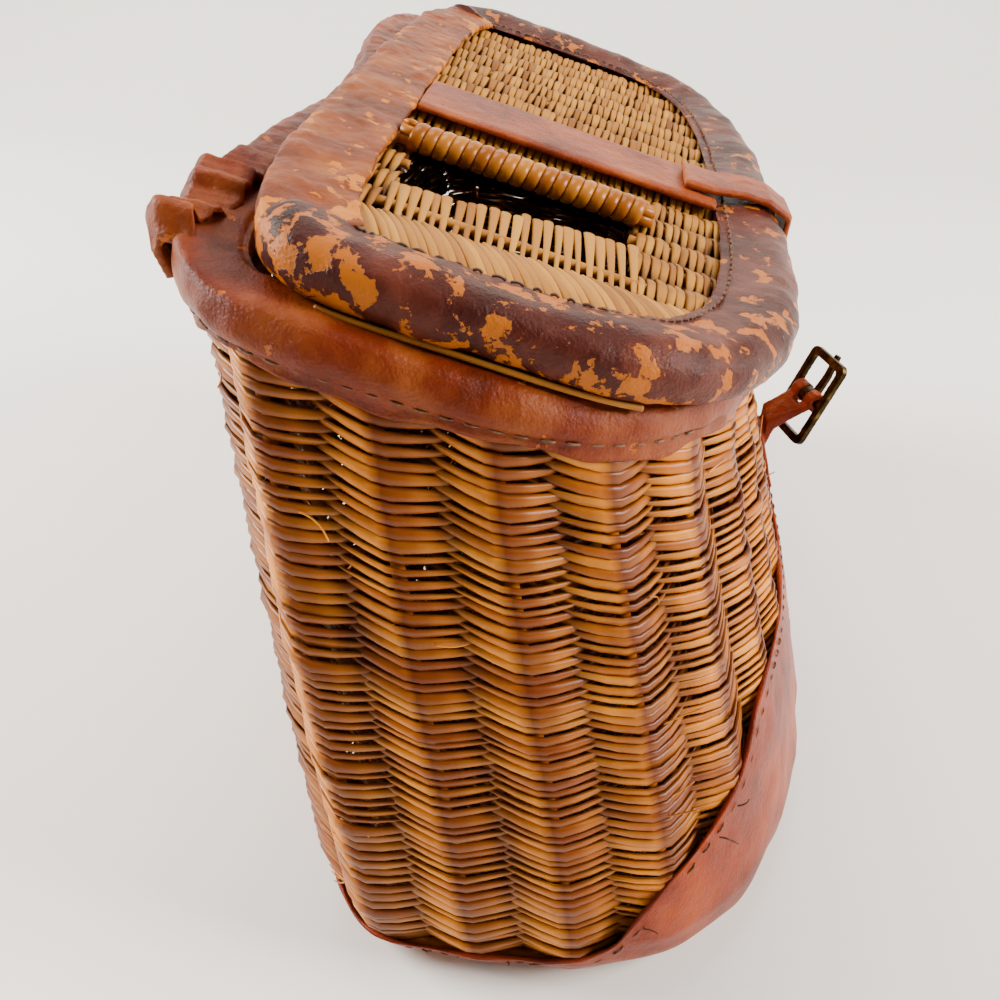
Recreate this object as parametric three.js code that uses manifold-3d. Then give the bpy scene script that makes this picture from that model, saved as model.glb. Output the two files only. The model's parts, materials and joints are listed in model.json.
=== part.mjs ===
// A split-willow fishing creel with leather trim, in millimetres.
// +Z is up, X runs along the length, and -Y is the buckle side.
// The base rests on Z = 0, and the lid slopes down to the front and opens about its back edge.

import * as THREE from "three";
import { mergeVertices } from "three/addons/utils/BufferGeometryUtils.js";
import Module from "manifold-3d";

const wasm = await Module();
wasm.setup();

// Driving dimensions of the basket
const BODY_LENGTH = 356;
const BODY_DEPTH = 176;
const BACK_HOLLOW = 13;
const BACK_HEIGHT = 222;
const LID_TILT = THREE.MathUtils.degToRad(16.7);
const WALL = 6;
const BASE_THICKNESS = 6;
const STAKE_COUNT = 30;
const STAKE_RELIEF = 3;

// Driving dimensions of the lid
const LID_LENGTH = 308;
const LID_DEPTH = 150;
const PANEL_THICKNESS = 6;
const PANEL_EDGE_INSET = 9;
const HOLE_WIDTH = 28;
const HOLE_LENGTH = 68;
const HOLE_CENTRE_X = -77;
const HOLE_FROM_BACK = 30;
const HOLE_BAR_WIDTH = 14;
const HOLE_BAR_HEIGHT = 9;
const HOLE_BAR_OVERHANG = 5;

// Driving dimensions of the leather
const ROLL_HEIGHT = 15;
const ROLL_WIDTH = 24;
const LEATHER = 2.4;
const RIM_BAND_HEIGHT = 12.5;
const RIM_BAND_BULGE = 8;
const RIM_FLANGE_WAVE = 1.2;
const RIM_WAVES = 14;
const BACK_STRIP_WIDTH = 24;
const LID_STRAP_WIDTH = 34;
const LID_STRAP_X = -9;
const KEEPER_WIDTH = 22;
const KEEPER_TAIL = 8;
const FRONT_STRAP_WIDTH = 24;
const BASE_BAND_TUCK = 5.4;
const BASE_LEATHER_FIT = 1.2;
const HINGE_END_INSET = 15.3;
const HINGE_SKIRT = 12;
const HINGE_TOP_DROP = 5;
const HINGE_SEAT_GAP = 0.9;
const HINGE_FLARE = 6;
const HINGE_TOP_LEAN = 2;
const HINGE_FOLD_INSET = 3.5;
const ROLL_STARTS_FROM_BACK = 10;

// Driving dimensions of the buckle
const BUCKLE_LENGTH = 34;
const BUCKLE_WIDTH = 22;
const BUCKLE_RAIL = 3;
const BUCKLE_THICKNESS = 2.4;
const BAR_RADIUS = 1.4;
const TONGUE_WIDTH = 3.6;
const BUCKLE_LEAN = THREE.MathUtils.degToRad(23);
const BUCKLE_TWIST = THREE.MathUtils.degToRad(20);
const BUCKLE_HEIGHT = 125;
const BUCKLE_STANDOFF = 22;
const TAB_DROP = 14;
const TAB_WIDTH = 14;
const TAB_ROOT_DROP = 6;
const TAB_ROOT_HEIGHT = 8;
const TAB_ROOT_DEPTH = 2;
const TAB_THICKNESS = 3.2;
const TAB_SEAT = 2.1;

// Clearances
const GAP = 0.3;
const PIVOT_GAP = 0.4;

// Outline shape: the front half is a rounder superellipse than the back half
const FRONT_ROUNDNESS = 2.8;
const LID_FRONT_ROUNDNESS = 3.4;
const BACK_ROUNDNESS = 5;
const WIDEST_SHARE = 0.4;

// Sections of the basket from base to rim: height, half length, back and front as shares of
// the full height, half the length, and the depth measured forwards from the back plane
const BODY_SECTIONS = [
  { height: 0.0, length: 0.925, back: 0.06, front: 0.91 },
  { height: 0.025, length: 0.965, back: 0.035, front: 0.945 },
  { height: 0.07, length: 0.99, back: 0.012, front: 0.965 },
  { height: 0.13, length: 1.0, back: 0.0, front: 0.968 },
  { height: 0.36, length: 0.985, back: -0.015, front: 0.91 },
  { height: 0.6, length: 0.95, back: -0.035, front: 0.832 },
  { height: 0.84, length: 0.89, back: -0.058, front: 0.762 },
  { height: 1.0, length: 0.85, back: -0.075, front: 0.735 },
];

// Upper edge of the base leather: share of the way from the middle of the front round to the
// middle of the back, and height as a share of the back height
const APRON_EDGE = [
  { around: 0.0, height: 0.4 },
  { around: 0.1, height: 0.37 },
  { around: 0.2, height: 0.375 },
  { around: 0.28, height: 0.37 },
  { around: 0.315, height: 0.3 },
  { around: 0.355, height: 0.27 },
  { around: 0.4, height: 0.2 },
  { around: 0.44, height: 0.085 },
  { around: 0.52, height: 0.055 },
  { around: 1.0, height: 0.05 },
];

const RING_STEPS = STAKE_COUNT * 3;
const BACK_Y = BODY_DEPTH / 2;
const TAN_TILT = Math.tan(LID_TILT);
const COS_TILT = Math.cos(LID_TILT);

const RIM_SECTION = BODY_SECTIONS[BODY_SECTIONS.length - 1];
const LID_STEPS = 76;
const LOOP_RADIUS = BAR_RADIUS + PIVOT_GAP + 0.8 * LEATHER;
const EYE_RADIUS = BAR_RADIUS + PIVOT_GAP + 1.5;

const lerp = THREE.MathUtils.lerp;

// Value of a named column of a table at a given place, joined by straight lines
function tableValue(table, key, at, column) {
  const last = table.length - 1;
  if (at >= table[last][key]) return table[last][column];
  const next = Math.max(1, table.findIndex((row) => row[key] > at));
  const a = table[next - 1];
  const b = table[next];
  const share = (at - a[key]) / (b[key] - a[key]);
  return lerp(a[column], b[column], Math.max(0, share));
}

// Closed D-shaped outline as evenly spaced points, from the middle of the front round.
// A hollow back bends inwards in the middle, to sit against the hip.
function outline(halfLength, backY, frontY, hollow, steps, roundness = FRONT_ROUNDNESS) {
  const widestY = lerp(backY, frontY, WIDEST_SHARE);
  const fine = [];
  const fineSteps = 720;
  for (let i = 0; i < fineSteps; i += 1) {
    const angle = (i / fineSteps) * 2 * Math.PI;
    const across = Math.sin(angle);
    const forward = Math.cos(angle);
    const power = forward > 0 ? roundness : BACK_ROUNDNESS;
    const reach = forward > 0 ? widestY - frontY : backY - widestY;
    const x = Math.sign(across) * halfLength * Math.abs(across) ** (2 / power);
    const y = widestY - Math.sign(forward) * reach * Math.abs(forward) ** (2 / power);
    const backness = Math.max(0, (y - widestY) / (backY - widestY));
    const middle = Math.cos((0.5 * Math.PI * x) / halfLength) ** 2;
    fine.push(new THREE.Vector2(x, y - hollow * backness * middle));
  }
  const lengths = [0];
  for (let i = 1; i <= fineSteps; i += 1) {
    lengths.push(lengths[i - 1] + fine[i % fineSteps].distanceTo(fine[i - 1]));
  }
  const points = [];
  let j = 0;
  for (let i = 0; i < steps; i += 1) {
    const wanted = (i / steps) * lengths[fineSteps];
    while (lengths[j + 1] < wanted) j += 1;
    const share = (wanted - lengths[j]) / (lengths[j + 1] - lengths[j]);
    points.push(fine[j].clone().lerp(fine[(j + 1) % fineSteps], share));
  }
  return points;
}

// Outward normals of a closed outline
function normals(points) {
  return points.map((point, i) => {
    const before = points[(i + points.length - 1) % points.length];
    const after = points[(i + 1) % points.length];
    const along = after.clone().sub(before).normalize();
    return new THREE.Vector2(along.y, -along.x);
  });
}

// Height of the slanted rim plane above the base, at a place front to back
function rimHeight(y) {
  return BACK_HEIGHT - (BACK_Y - y) * TAN_TILT;
}

// One level of the basket wall, moved out by an offset and by the stakes' relief
function wallLevel(level, offset, relief, steps = RING_STEPS) {
  const value = (column) => tableValue(BODY_SECTIONS, "height", level, column);
  const halfLength = (BODY_LENGTH / 2) * value("length");
  const backY = BACK_Y - BODY_DEPTH * value("back");
  const frontY = BACK_Y - BODY_DEPTH * value("front");
  const points = outline(halfLength, backY, frontY, BACK_HOLLOW, steps);
  const outward = normals(points);
  const rimBack = BACK_Y - BODY_DEPTH * RIM_SECTION.back;
  const rimFront = BACK_Y - BODY_DEPTH * RIM_SECTION.front;
  return points.map((point, i) => {
    const ridge = 0.5 + 0.5 * Math.cos((2 * Math.PI * STAKE_COUNT * i) / steps);
    const moved = point.clone().addScaledVector(outward[i], offset + relief * ridge);
    const across = (point.y - frontY) / (backY - frontY);
    const rimY = level === 1 ? moved.y : lerp(rimFront, rimBack, across);
    return new THREE.Vector3(moved.x, moved.y, level * rimHeight(rimY));
  });
}

// Closed solid through a row of equal loops: joined round, or with both ends capped
function loopSolid(loops, capFaces) {
  const count = loops[0].length;
  const positions = loops.flat().flatMap((p) => [p.x, p.y, p.z]);
  const index = [];
  const rings = capFaces ? loops.length - 1 : loops.length;
  for (let r = 0; r < rings; r += 1) {
    const a = r * count;
    const b = ((r + 1) % loops.length) * count;
    for (let i = 0; i < count; i += 1) {
      const j = (i + 1) % count;
      index.push(a + i, a + j, b + j, a + i, b + j, b + i);
    }
  }
  if (capFaces) {
    const last = (loops.length - 1) * count;
    for (const [p, q, r] of capFaces) {
      index.push(r, q, p);
      index.push(last + p, last + q, last + r);
    }
  }
  return outwardGeometry(positions, index);
}

// Geometry whose triangles are turned to face out, from its signed volume
function outwardGeometry(positions, index) {
  let volume = 0;
  const corner = (i) => new THREE.Vector3().fromArray(positions, 3 * i);
  for (let i = 0; i < index.length; i += 3) {
    const [a, b, c] = [corner(index[i]), corner(index[i + 1]), corner(index[i + 2])];
    volume += a.dot(b.cross(c));
  }
  if (volume < 0) index.reverse();
  const geometry = new THREE.BufferGeometry();
  geometry.setAttribute("position", new THREE.Float32BufferAttribute(positions, 3));
  geometry.setIndex(index);
  geometry.computeVertexNormals();
  return geometry;
}

// Triangles that fill a flat section, each with its corners in the section's own order
function sectionFaces(section) {
  const faces = THREE.ShapeUtils.triangulateShape(section, []);
  return faces.map((face) => [...face].sort((a, b) => a - b));
}

// Sheet between an inner and an outer surface, given as columns of rows, open at both ends
function sheetSolid(columns) {
  const rows = columns[0].inner.length;
  const loops = columns.map((column) => [...column.outer, ...column.inner.slice().reverse()]);
  const faces = [];
  for (let r = 0; r < rows - 1; r += 1) {
    const inner = 2 * rows - 1 - r;
    faces.push([r, r + 1, inner - 1], [r, inner - 1, inner]);
  }
  return loopSolid(loops, faces);
}

// One point of the wall at a step of the way round
function wallPoint(i, level, offset) {
  return wallLevel(level, offset, 0)[i];
}

// Height of the wall's top at a step of the way round
function rimHeightAt(i) {
  return RIM_LEVEL[i].z;
}

function toManifold(geometry) {
  const plain = geometry.clone();
  plain.deleteAttribute("normal");
  plain.deleteAttribute("uv");
  const merged = mergeVertices(plain, 1e-4);
  return new wasm.Manifold(new wasm.Mesh({
    numProp: 3,
    vertProperties: new Float32Array(merged.attributes.position.array),
    triVerts: new Uint32Array(merged.index.array),
  }));
}

function fromManifold(solid) {
  const mesh = solid.getMesh();
  const geometry = new THREE.BufferGeometry();
  geometry.setAttribute("position", new THREE.BufferAttribute(mesh.vertProperties, 3));
  geometry.setIndex(new THREE.BufferAttribute(mesh.triVerts, 1));
  geometry.computeVertexNormals();
  return geometry;
}

const RIM_LEVEL = wallLevel(1, 0, 0);
const LID_HINGE_Z = rimHeight(BACK_Y) + (LEATHER + GAP + ROLL_HEIGHT / 2) / COS_TILT;

// Materials
const willow = new THREE.MeshStandardMaterial({ color: 0xc8924a, roughness: 0.55 });
const paleWillow = new THREE.MeshStandardMaterial({ color: 0xcda56c, roughness: 0.7 });
const amberWillow = new THREE.MeshStandardMaterial({ color: 0xc98b35, roughness: 0.35 });
const rollLeather = new THREE.MeshStandardMaterial({ color: 0x6a3a2a, roughness: 0.5 });
const tanLeather = new THREE.MeshStandardMaterial({ color: 0x9a5432, roughness: 0.55 });
const strapLeather = new THREE.MeshStandardMaterial({ color: 0xa86a48, roughness: 0.6 });
const agedBrass = new THREE.MeshStandardMaterial({ color: 0x4a3a20, roughness: 0.45, metalness: 1 });

function piece(name, geometry, material) {
  const mesh = new THREE.Mesh(geometry, material);
  mesh.name = name;
  return mesh;
}

// Hollow woven basket, open at the rim, with a raised ridge over each stake
function basketBody() {
  const outerLevels = [0, 0.025, 0.07, 0.13, 0.25, 0.36, 0.48, 0.6, 0.72, 0.84, 0.93, 1];
  const innerLevels = [1, 0.84, 0.6, 0.36, 0.13];
  const reliefAt = (level) => STAKE_RELIEF * Math.min(1, level / 0.07);
  const loops = outerLevels.map((level) => wallLevel(level, 0, level < 1 ? reliefAt(level) : 0));
  innerLevels.forEach((level) => loops.push(wallLevel(level, -WALL, 0)));
  const floorLoop = wallLevel(0.025, -WALL - BASE_THICKNESS, 0);
  floorLoop.forEach((p) => { p.z = BASE_THICKNESS; });
  loops.push(floorLoop);
  const faces = sectionFaces(loops[0].map((p) => new THREE.Vector2(p.x, p.y)));
  return piece("basket_body", loopSolid(loops, faces), willow);
}

// Padded leather band that wraps the rim, with a stitched flange along its lower edge
function rimLeather() {
  const inside = -WALL - GAP;
  const outside = STAKE_RELIEF + GAP;
  const bulge = RIM_BAND_BULGE;
  const section = [
    { out: outside, down: 1, wavy: 1 },
    { out: outside + LEATHER, down: 1, wavy: 1 },
    { out: outside + LEATHER, down: 0.75, wavy: 0 },
    { out: bulge, down: 0.5, wavy: 0 },
    { out: bulge, down: 0.15, wavy: 0 },
    { out: bulge - 3.5, down: 0, up: LEATHER, wavy: 0 },
    { out: inside - 0.5, down: 0, up: LEATHER, wavy: 0 },
    { out: inside - LEATHER, down: 0.1, wavy: 0 },
    { out: inside - LEATHER, down: 0.45, wavy: 0 },
    { out: inside, down: 0.45, wavy: 0 },
    { out: inside, down: 0, up: GAP, wavy: 0 },
    { out: outside, down: 0, up: GAP, wavy: 0 },
  ];
  const loops = [];
  for (let i = 0; i < RING_STEPS; i += 1) {
    const wave = RIM_FLANGE_WAVE * Math.sin((2 * Math.PI * RIM_WAVES * i) / RING_STEPS);
    loops.push(section.map(({ out, down, up = 0, wavy }) => {
      const drop = RIM_BAND_HEIGHT * down + wavy * wave;
      const point = wallPoint(i, 1 - drop / rimHeightAt(i), out);
      point.z += up;
      return point;
    }));
  }
  return piece("rim_leather", loopSolid(loops, null), tanLeather);
}

// Place of the back wall's outside at a place along the length, moved out by an offset
function backWallY(x, level, offset) {
  const ring = wallLevel(level, offset, 0).filter((p) => p.y > 0);
  ring.sort((a, b) => a.x - b.x);
  const next = Math.max(1, ring.findIndex((p) => p.x > x));
  const [a, b] = [ring[next - 1], ring[next]];
  return lerp(a.y, b.y, (x - a.x) / (b.x - a.x));
}

// Leather hinge sheet: sewn to the rim band's back, it rises to the lid's back edge,
// and its near end is torn and flared
function hingeLeather() {
  const tear = [
    { along: 0.0, out: 1.0, top: 0.35, bottom: 0.75 },
    { along: 0.03, out: 0.8, top: 0.0, bottom: 1.0 },
    { along: 0.07, out: 0.6, top: 0.2, bottom: 0.9 },
    { along: 0.12, out: 0.25, top: 0.0, bottom: 1.0 },
    { along: 0.2, out: 0.05, top: 0.04, bottom: 1.0 },
    { along: 0.5, out: 0.0, top: 0.0, bottom: 1.0 },
    { along: 0.9, out: 0.0, top: 0.03, bottom: 1.0 },
    { along: 1.0, out: 0.0, top: 0.1, bottom: 0.95 },
  ];
  const steps = 26;
  const half = (BODY_LENGTH / 2) * RIM_SECTION.length - HINGE_END_INSET;
  const topZ = LID_HINGE_Z - HINGE_TOP_DROP;
  const columns = [];
  for (let i = 0; i <= steps; i += 1) {
    const along = i / steps;
    const x = lerp(-half, half, along);
    const value = (column) => tableValue(tear, "along", along, column);
    const seat = backWallY(x, 1, RIM_BAND_BULGE) + HINGE_SEAT_GAP;
    const flare = HINGE_FLARE * value("out");
    const rimZ = rimHeight(seat);
    const bandTop = rimZ + LEATHER + HINGE_SEAT_GAP;
    const rows = [
      { y: BACK_Y + HINGE_TOP_LEAN + flare, z: lerp(topZ, bandTop, value("top")) },
      { y: seat - HINGE_FOLD_INSET + flare, z: bandTop },
      { y: seat + 0.5 * flare, z: rimZ },
      { y: seat + 0.2 * flare, z: rimZ - 0.5 * HINGE_SKIRT * value("bottom") },
      { y: seat, z: rimZ - HINGE_SKIRT * value("bottom") },
    ];
    columns.push({
      inner: rows.map(({ y, z }) => new THREE.Vector3(x, y, z)),
      outer: rows.map(({ y, z }, k) => {
        const before = rows[Math.max(0, k - 1)];
        const after = rows[Math.min(rows.length - 1, k + 1)];
        const length = Math.hypot(after.y - before.y, after.z - before.z);
        const outY = (-(after.z - before.z) / length) * LEATHER;
        const outZ = ((after.y - before.y) / length) * LEATHER;
        return new THREE.Vector3(x, y + outY, z + outZ);
      }),
    });
  }
  return piece("hinge_leather", sheetSolid(columns), tanLeather);
}

// Leather round the base: a thin binding that rises to a pointed apron at the front
function baseLeather() {
  const rows = [0, 0.1, 0.22, 0.45, 0.7, 1];
  const reach = STAKE_RELIEF + BASE_LEATHER_FIT;
  const loops = [];
  for (let i = 0; i < RING_STEPS; i += 1) {
    const around = (2 * Math.min(i, RING_STEPS - i)) / RING_STEPS;
    const edge = BACK_HEIGHT * tableValue(APRON_EDGE, "around", around, "height");
    const place = (share, offset) => {
      return wallPoint(i, lerp(BASE_BAND_TUCK, edge, share) / rimHeightAt(i), offset);
    };
    const outer = rows.map((share) => place(share, reach + LEATHER));
    const inner = rows.map((share) => place(share, reach)).reverse();
    loops.push([...outer, ...inner]);
  }
  return piece("base_leather", loopSolid(loops, null), tanLeather);
}

// Strap up the middle of the front, folded at its top into a loop round the buckle's bar
function frontStrap() {
  const bottomZ = BACK_HEIGHT * APRON_EDGE[0].height + 2 * GAP;
  const topZ = BUCKLE_HEIGHT - TAB_DROP;
  const rows = [0, 0.35, 0.7, 1];
  const columns = [-0.5, 0, 0.5].map((across) => {
    const column = { outer: [], inner: [] };
    rows.forEach((share) => {
      const z = lerp(bottomZ, topZ, share);
      const x = LID_STRAP_X + across * lerp(FRONT_STRAP_WIDTH, TAB_WIDTH + 2, share);
      const seat = frontFaceY(z);
      column.inner.push(new THREE.Vector3(x, seat, z));
      column.outer.push(new THREE.Vector3(x, seat - LEATHER, z));
    });
    return column;
  });
  const strap = toManifold(sheetSolid(columns));
  const solid = strap.add(tabTail()).add(tabLoop()).subtract(tongueSlot());
  return piece("front_strap", fromManifold(solid), tanLeather);
}

// Place of the front face of the weave's ridges, with the seating gap, at a height
function frontFaceY(z) {
  const level = z / rimHeight(BACK_Y - BODY_DEPTH * RIM_SECTION.front);
  const share = tableValue(BODY_SECTIONS, "height", level, "front");
  return BACK_Y - BODY_DEPTH * share - STAKE_RELIEF - GAP;
}

// Frame of the buckle: X along its bar, Y up its length, Z out of its face
function buckleFrame() {
  const y = frontFaceY(BUCKLE_HEIGHT) - BUCKLE_STANDOFF;
  const frame = new THREE.Object3D();
  frame.position.set(LID_STRAP_X, y, BUCKLE_HEIGHT);
  frame.rotation.set(Math.PI / 2 + BUCKLE_LEAN, 0, BUCKLE_TWIST, "ZYX");
  frame.updateMatrix();
  return frame;
}

// Doubled leather between the strap's top end and the loop, turning as it rises
function tabTail() {
  const frame = buckleFrame();
  const half = TAB_WIDTH / 2;
  const start = new THREE.Vector3(LID_STRAP_X, 0, BUCKLE_HEIGHT - TAB_DROP - TAB_ROOT_DROP);
  const startY = frontFaceY(start.z) - 0.5 * LEATHER;
  const high = TAB_ROOT_HEIGHT / 2;
  const front = startY - TAB_ROOT_DEPTH;
  const loops = [
    [[-half, startY, -high], [half, startY, -high], [half, front, high], [-half, front, high]]
      .map(([x, y, z]) => new THREE.Vector3(start.x + x, y, start.z + z)),
  ];
  const middleY = lerp(startY, frame.position.y, 0.12);
  const thick = TAB_THICKNESS / 2;
  loops.push([[-half, thick], [half, thick], [half, -thick], [-half, -thick]].map(([x, out]) => {
    const z = lerp(start.z, BUCKLE_HEIGHT, 0.5);
    return new THREE.Vector3(start.x + x, middleY + out, z + out);
  }));
  const inset = half - 0.2;
  loops.push([[-inset, -1], [inset, -1], [inset, 1], [-inset, 1]].map(([x, y]) => {
    const [along, out] = [-TAB_SEAT - 0.8 * y, -TAB_SEAT + 0.8 * y];
    return new THREE.Vector3(x, along, out).applyMatrix4(frame.matrix);
  }));
  return toManifold(loopSolid(loops, [[0, 1, 2], [0, 2, 3]]));
}

// Loop of leather round the buckle's bar
function tabLoop() {
  const shape = new THREE.Shape();
  shape.absarc(0, 0, LOOP_RADIUS, 0, 2 * Math.PI);
  const bore = new THREE.Path();
  bore.absarc(0, 0, BAR_RADIUS + PIVOT_GAP, 0, 2 * Math.PI, true);
  shape.holes.push(bore);
  return toManifold(extrudeAcross(shape, TAB_WIDTH, 5).applyMatrix4(buckleFrame().matrix));
}

// Slot through the loop that leaves the tongue's eye free
function tongueSlot() {
  const size = 4 * LOOP_RADIUS;
  const slot = new THREE.BoxGeometry(TONGUE_WIDTH + 2 * PIVOT_GAP, size, size);
  slot.translate(0, size / 2 - EYE_RADIUS - PIVOT_GAP, 0);
  return toManifold(slot.applyMatrix4(buckleFrame().matrix));
}

// A profile drawn in Y and Z, extruded along X about the middle
function extrudeAcross(shape, width, curveSegments) {
  const geometry = new THREE.ExtrudeGeometry(shape, {
    depth: width, bevelEnabled: false, curveSegments,
  });
  geometry.translate(0, 0, -width / 2);
  geometry.rotateY(Math.PI / 2);
  geometry.rotateX(Math.PI / 2);
  return geometry;
}

function roundedRectangle(target, width, length, radius) {
  const x = width / 2 - radius;
  const y = length / 2 - radius;
  target.absarc(x, y, radius, 0, Math.PI / 2);
  target.absarc(-x, y, radius, Math.PI / 2, Math.PI);
  target.absarc(-x, -y, radius, Math.PI, 1.5 * Math.PI);
  target.absarc(x, -y, radius, 1.5 * Math.PI, 2 * Math.PI);
  return target;
}

// Cast brass frame with a round middle bar
function brassFrame() {
  const shape = roundedRectangle(new THREE.Shape(), BUCKLE_WIDTH, BUCKLE_LENGTH, 3);
  const inner = BUCKLE_WIDTH - 2 * BUCKLE_RAIL;
  const window = new THREE.Path();
  shape.holes.push(roundedRectangle(window, inner, BUCKLE_LENGTH - 2 * BUCKLE_RAIL, 1.5));
  const ring = new THREE.ExtrudeGeometry(shape, {
    depth: BUCKLE_THICKNESS, bevelEnabled: false, curveSegments: 3,
  });
  ring.translate(0, 0, -BUCKLE_THICKNESS / 2);
  const bar = new THREE.CylinderGeometry(BAR_RADIUS, BAR_RADIUS, inner + BUCKLE_RAIL, 10);
  bar.rotateZ(Math.PI / 2);
  const solid = toManifold(ring).add(toManifold(bar));
  return piece("buckle_frame", fromManifold(solid), agedBrass);
}

// Tongue: an eye round the bar and a tapered pin that rests on the top rail
function brassTongue() {
  const eye = new THREE.Shape();
  eye.absarc(0, 0, EYE_RADIUS, 0, 2 * Math.PI);
  const bore = new THREE.Path();
  bore.absarc(0, 0, BAR_RADIUS + PIVOT_GAP, 0, 2 * Math.PI, true);
  eye.holes.push(bore);
  const ring = extrudeAcross(eye, TONGUE_WIDTH, 5);
  const tip = BUCKLE_LENGTH / 2 + 1;
  const rest = BUCKLE_THICKNESS / 2 + GAP;
  const thick = 1.8;
  const root = BAR_RADIUS + PIVOT_GAP;
  const stations = [
    { y: 0.6, z: root + 0.1, half: TONGUE_WIDTH / 2 },
    { y: 0.5 * tip, z: rest + 0.9, half: 0.42 * TONGUE_WIDTH },
    { y: tip, z: rest, half: 0.3 * TONGUE_WIDTH },
  ];
  const loops = stations.map(({ y, z, half }) => [
    new THREE.Vector3(-half, y, z),
    new THREE.Vector3(half, y, z),
    new THREE.Vector3(half, y, z + thick),
    new THREE.Vector3(-half, y, z + thick),
  ]);
  const pin = loopSolid(loops, [[0, 1, 2], [0, 2, 3]]);
  const solid = toManifold(ring).add(toManifold(pin));
  return piece("buckle_tongue", fromManifold(solid), agedBrass);
}

// Points and normals of the lid's outline, in the lid's own frame, from the front middle round
const LID_RING = outline(LID_LENGTH / 2, 0, -LID_DEPTH, 0, LID_STEPS, LID_FRONT_ROUNDNESS);
const LID_OUTWARD = normals(LID_RING);

// One point of the lid's edge moved inwards, at a height above the panel's middle plane
function lidEdgePoint(i, inset, up) {
  const k = (i + LID_STEPS) % LID_STEPS;
  const moved = LID_RING[k].clone().addScaledVector(LID_OUTWARD[k], -inset);
  return new THREE.Vector3(moved.x, moved.y, up);
}

// Last step of the lid's outline that the padded roll covers, counted from the front middle
function rollEnd() {
  let i = 0;
  while (LID_RING[i + 1].y < -ROLL_STARTS_FROM_BACK) i += 1;
  return i;
}

// Woven panel of the lid, cut through for the fish hole
function lidPanel() {
  const edge = LID_RING.map((_, i) => lidEdgePoint(i, PANEL_EDGE_INSET, 0));
  const shape = new THREE.Shape(edge.map((p) => new THREE.Vector2(p.x, p.y)));
  const hole = new THREE.Path();
  const left = HOLE_CENTRE_X - HOLE_WIDTH / 2;
  hole.moveTo(left, -HOLE_FROM_BACK);
  hole.lineTo(left + HOLE_WIDTH, -HOLE_FROM_BACK);
  hole.lineTo(left + HOLE_WIDTH, -HOLE_FROM_BACK - HOLE_LENGTH);
  hole.lineTo(left, -HOLE_FROM_BACK - HOLE_LENGTH);
  hole.closePath();
  shape.holes.push(hole);
  const panel = new THREE.ExtrudeGeometry(shape, {
    depth: PANEL_THICKNESS, bevelEnabled: false,
  });
  panel.translate(0, 0, -PANEL_THICKNESS / 2);
  return piece("lid_panel", panel, paleWillow);
}

// Padded leather roll along the lid's sides and front, split to hold the panel's edge
function lidRoll() {
  const high = ROLL_HEIGHT / 2;
  const wide = ROLL_WIDTH;
  const seat = PANEL_THICKNESS / 2 + GAP;
  const slot = PANEL_EDGE_INSET - GAP;
  const section = [
    { inset: 0, up: 0 },
    { inset: 0.08 * wide, up: 0.66 * high },
    { inset: 0.3 * wide, up: high },
    { inset: 0.6 * wide, up: 0.92 * high },
    { inset: wide, up: seat + 1.2 },
    { inset: wide, up: seat },
    { inset: slot, up: seat },
    { inset: slot, up: -seat },
    { inset: 0.75 * wide, up: -seat },
    { inset: 0.75 * wide, up: -seat - LEATHER },
    { inset: 0.3 * wide, up: -high },
    { inset: 0.08 * wide, up: -0.66 * high },
  ];
  const flat = section.map(({ inset, up }) => new THREE.Vector2(inset, up));
  const loops = [];
  for (let i = -rollEnd(); i <= rollEnd(); i += 1) {
    loops.push(section.map(({ inset, up }) => lidEdgePoint(i, inset, up)));
  }
  return piece("lid_roll", loopSolid(loops, sectionFaces(flat)), rollLeather);
}

// Flat leather strip folded over the lid's back edge between the ends of the roll
function lidBackStrip() {
  const seat = PANEL_THICKNESS / 2 + GAP;
  const slot = PANEL_EDGE_INSET - GAP;
  const section = [
    { inset: 0, up: 0 },
    { inset: 1, up: 0.7 * seat + LEATHER },
    { inset: 4, up: seat + LEATHER },
    { inset: BACK_STRIP_WIDTH, up: seat + LEATHER },
    { inset: BACK_STRIP_WIDTH, up: seat },
    { inset: slot, up: seat },
    { inset: slot, up: -seat },
    { inset: 0.7 * BACK_STRIP_WIDTH, up: -seat },
    { inset: 0.7 * BACK_STRIP_WIDTH, up: -seat - LEATHER },
    { inset: 3, up: -seat - LEATHER },
  ];
  const flat = section.map(({ inset, up }) => new THREE.Vector2(inset, up));
  const first = rollEnd();
  const loops = [];
  for (let i = first; i <= LID_STEPS - first; i += 1) {
    const side = i === first ? -1 : 1;
    const atEnd = i === first || i === LID_STEPS - first;
    loops.push(section.map(({ inset, up }) => {
      const point = lidEdgePoint(i, inset, up);
      if (atEnd) {
        const next = lidEdgePoint(i - side, inset, up);
        point.lerp(next, 2 * GAP / Math.max(2 * GAP, point.distanceTo(next)));
      }
      return point;
    }));
  }
  return piece("lid_back_strip", loopSolid(loops, sectionFaces(flat)), tanLeather);
}

// Strap swept along a path of places down the lid's slope and heights over the panel
function strapAlong(path, width, thickness) {
  const across = [
    { side: -0.5, out: -0.5 },
    { side: 0.5, out: -0.5 },
    { side: 0.5, out: 0.2 },
    { side: 0.42, out: 0.5 },
    { side: -0.42, out: 0.5 },
    { side: -0.5, out: 0.2 },
  ];
  const points = path.map(({ slope, up }) => new THREE.Vector2(-slope, up));
  const loops = points.map((point, i) => {
    const before = points[Math.max(0, i - 1)];
    const after = points[Math.min(points.length - 1, i + 1)];
    const along = after.clone().sub(before).normalize();
    const normal = new THREE.Vector2(along.y, -along.x);
    return across.map(({ side, out }) => {
      const moved = point.clone().addScaledVector(normal, out * thickness);
      return new THREE.Vector3(LID_STRAP_X + side * width, moved.x, moved.y);
    });
  });
  const flat = across.map(({ side, out }) => new THREE.Vector2(side, out));
  return loopSolid(loops, sectionFaces(flat));
}

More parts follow.
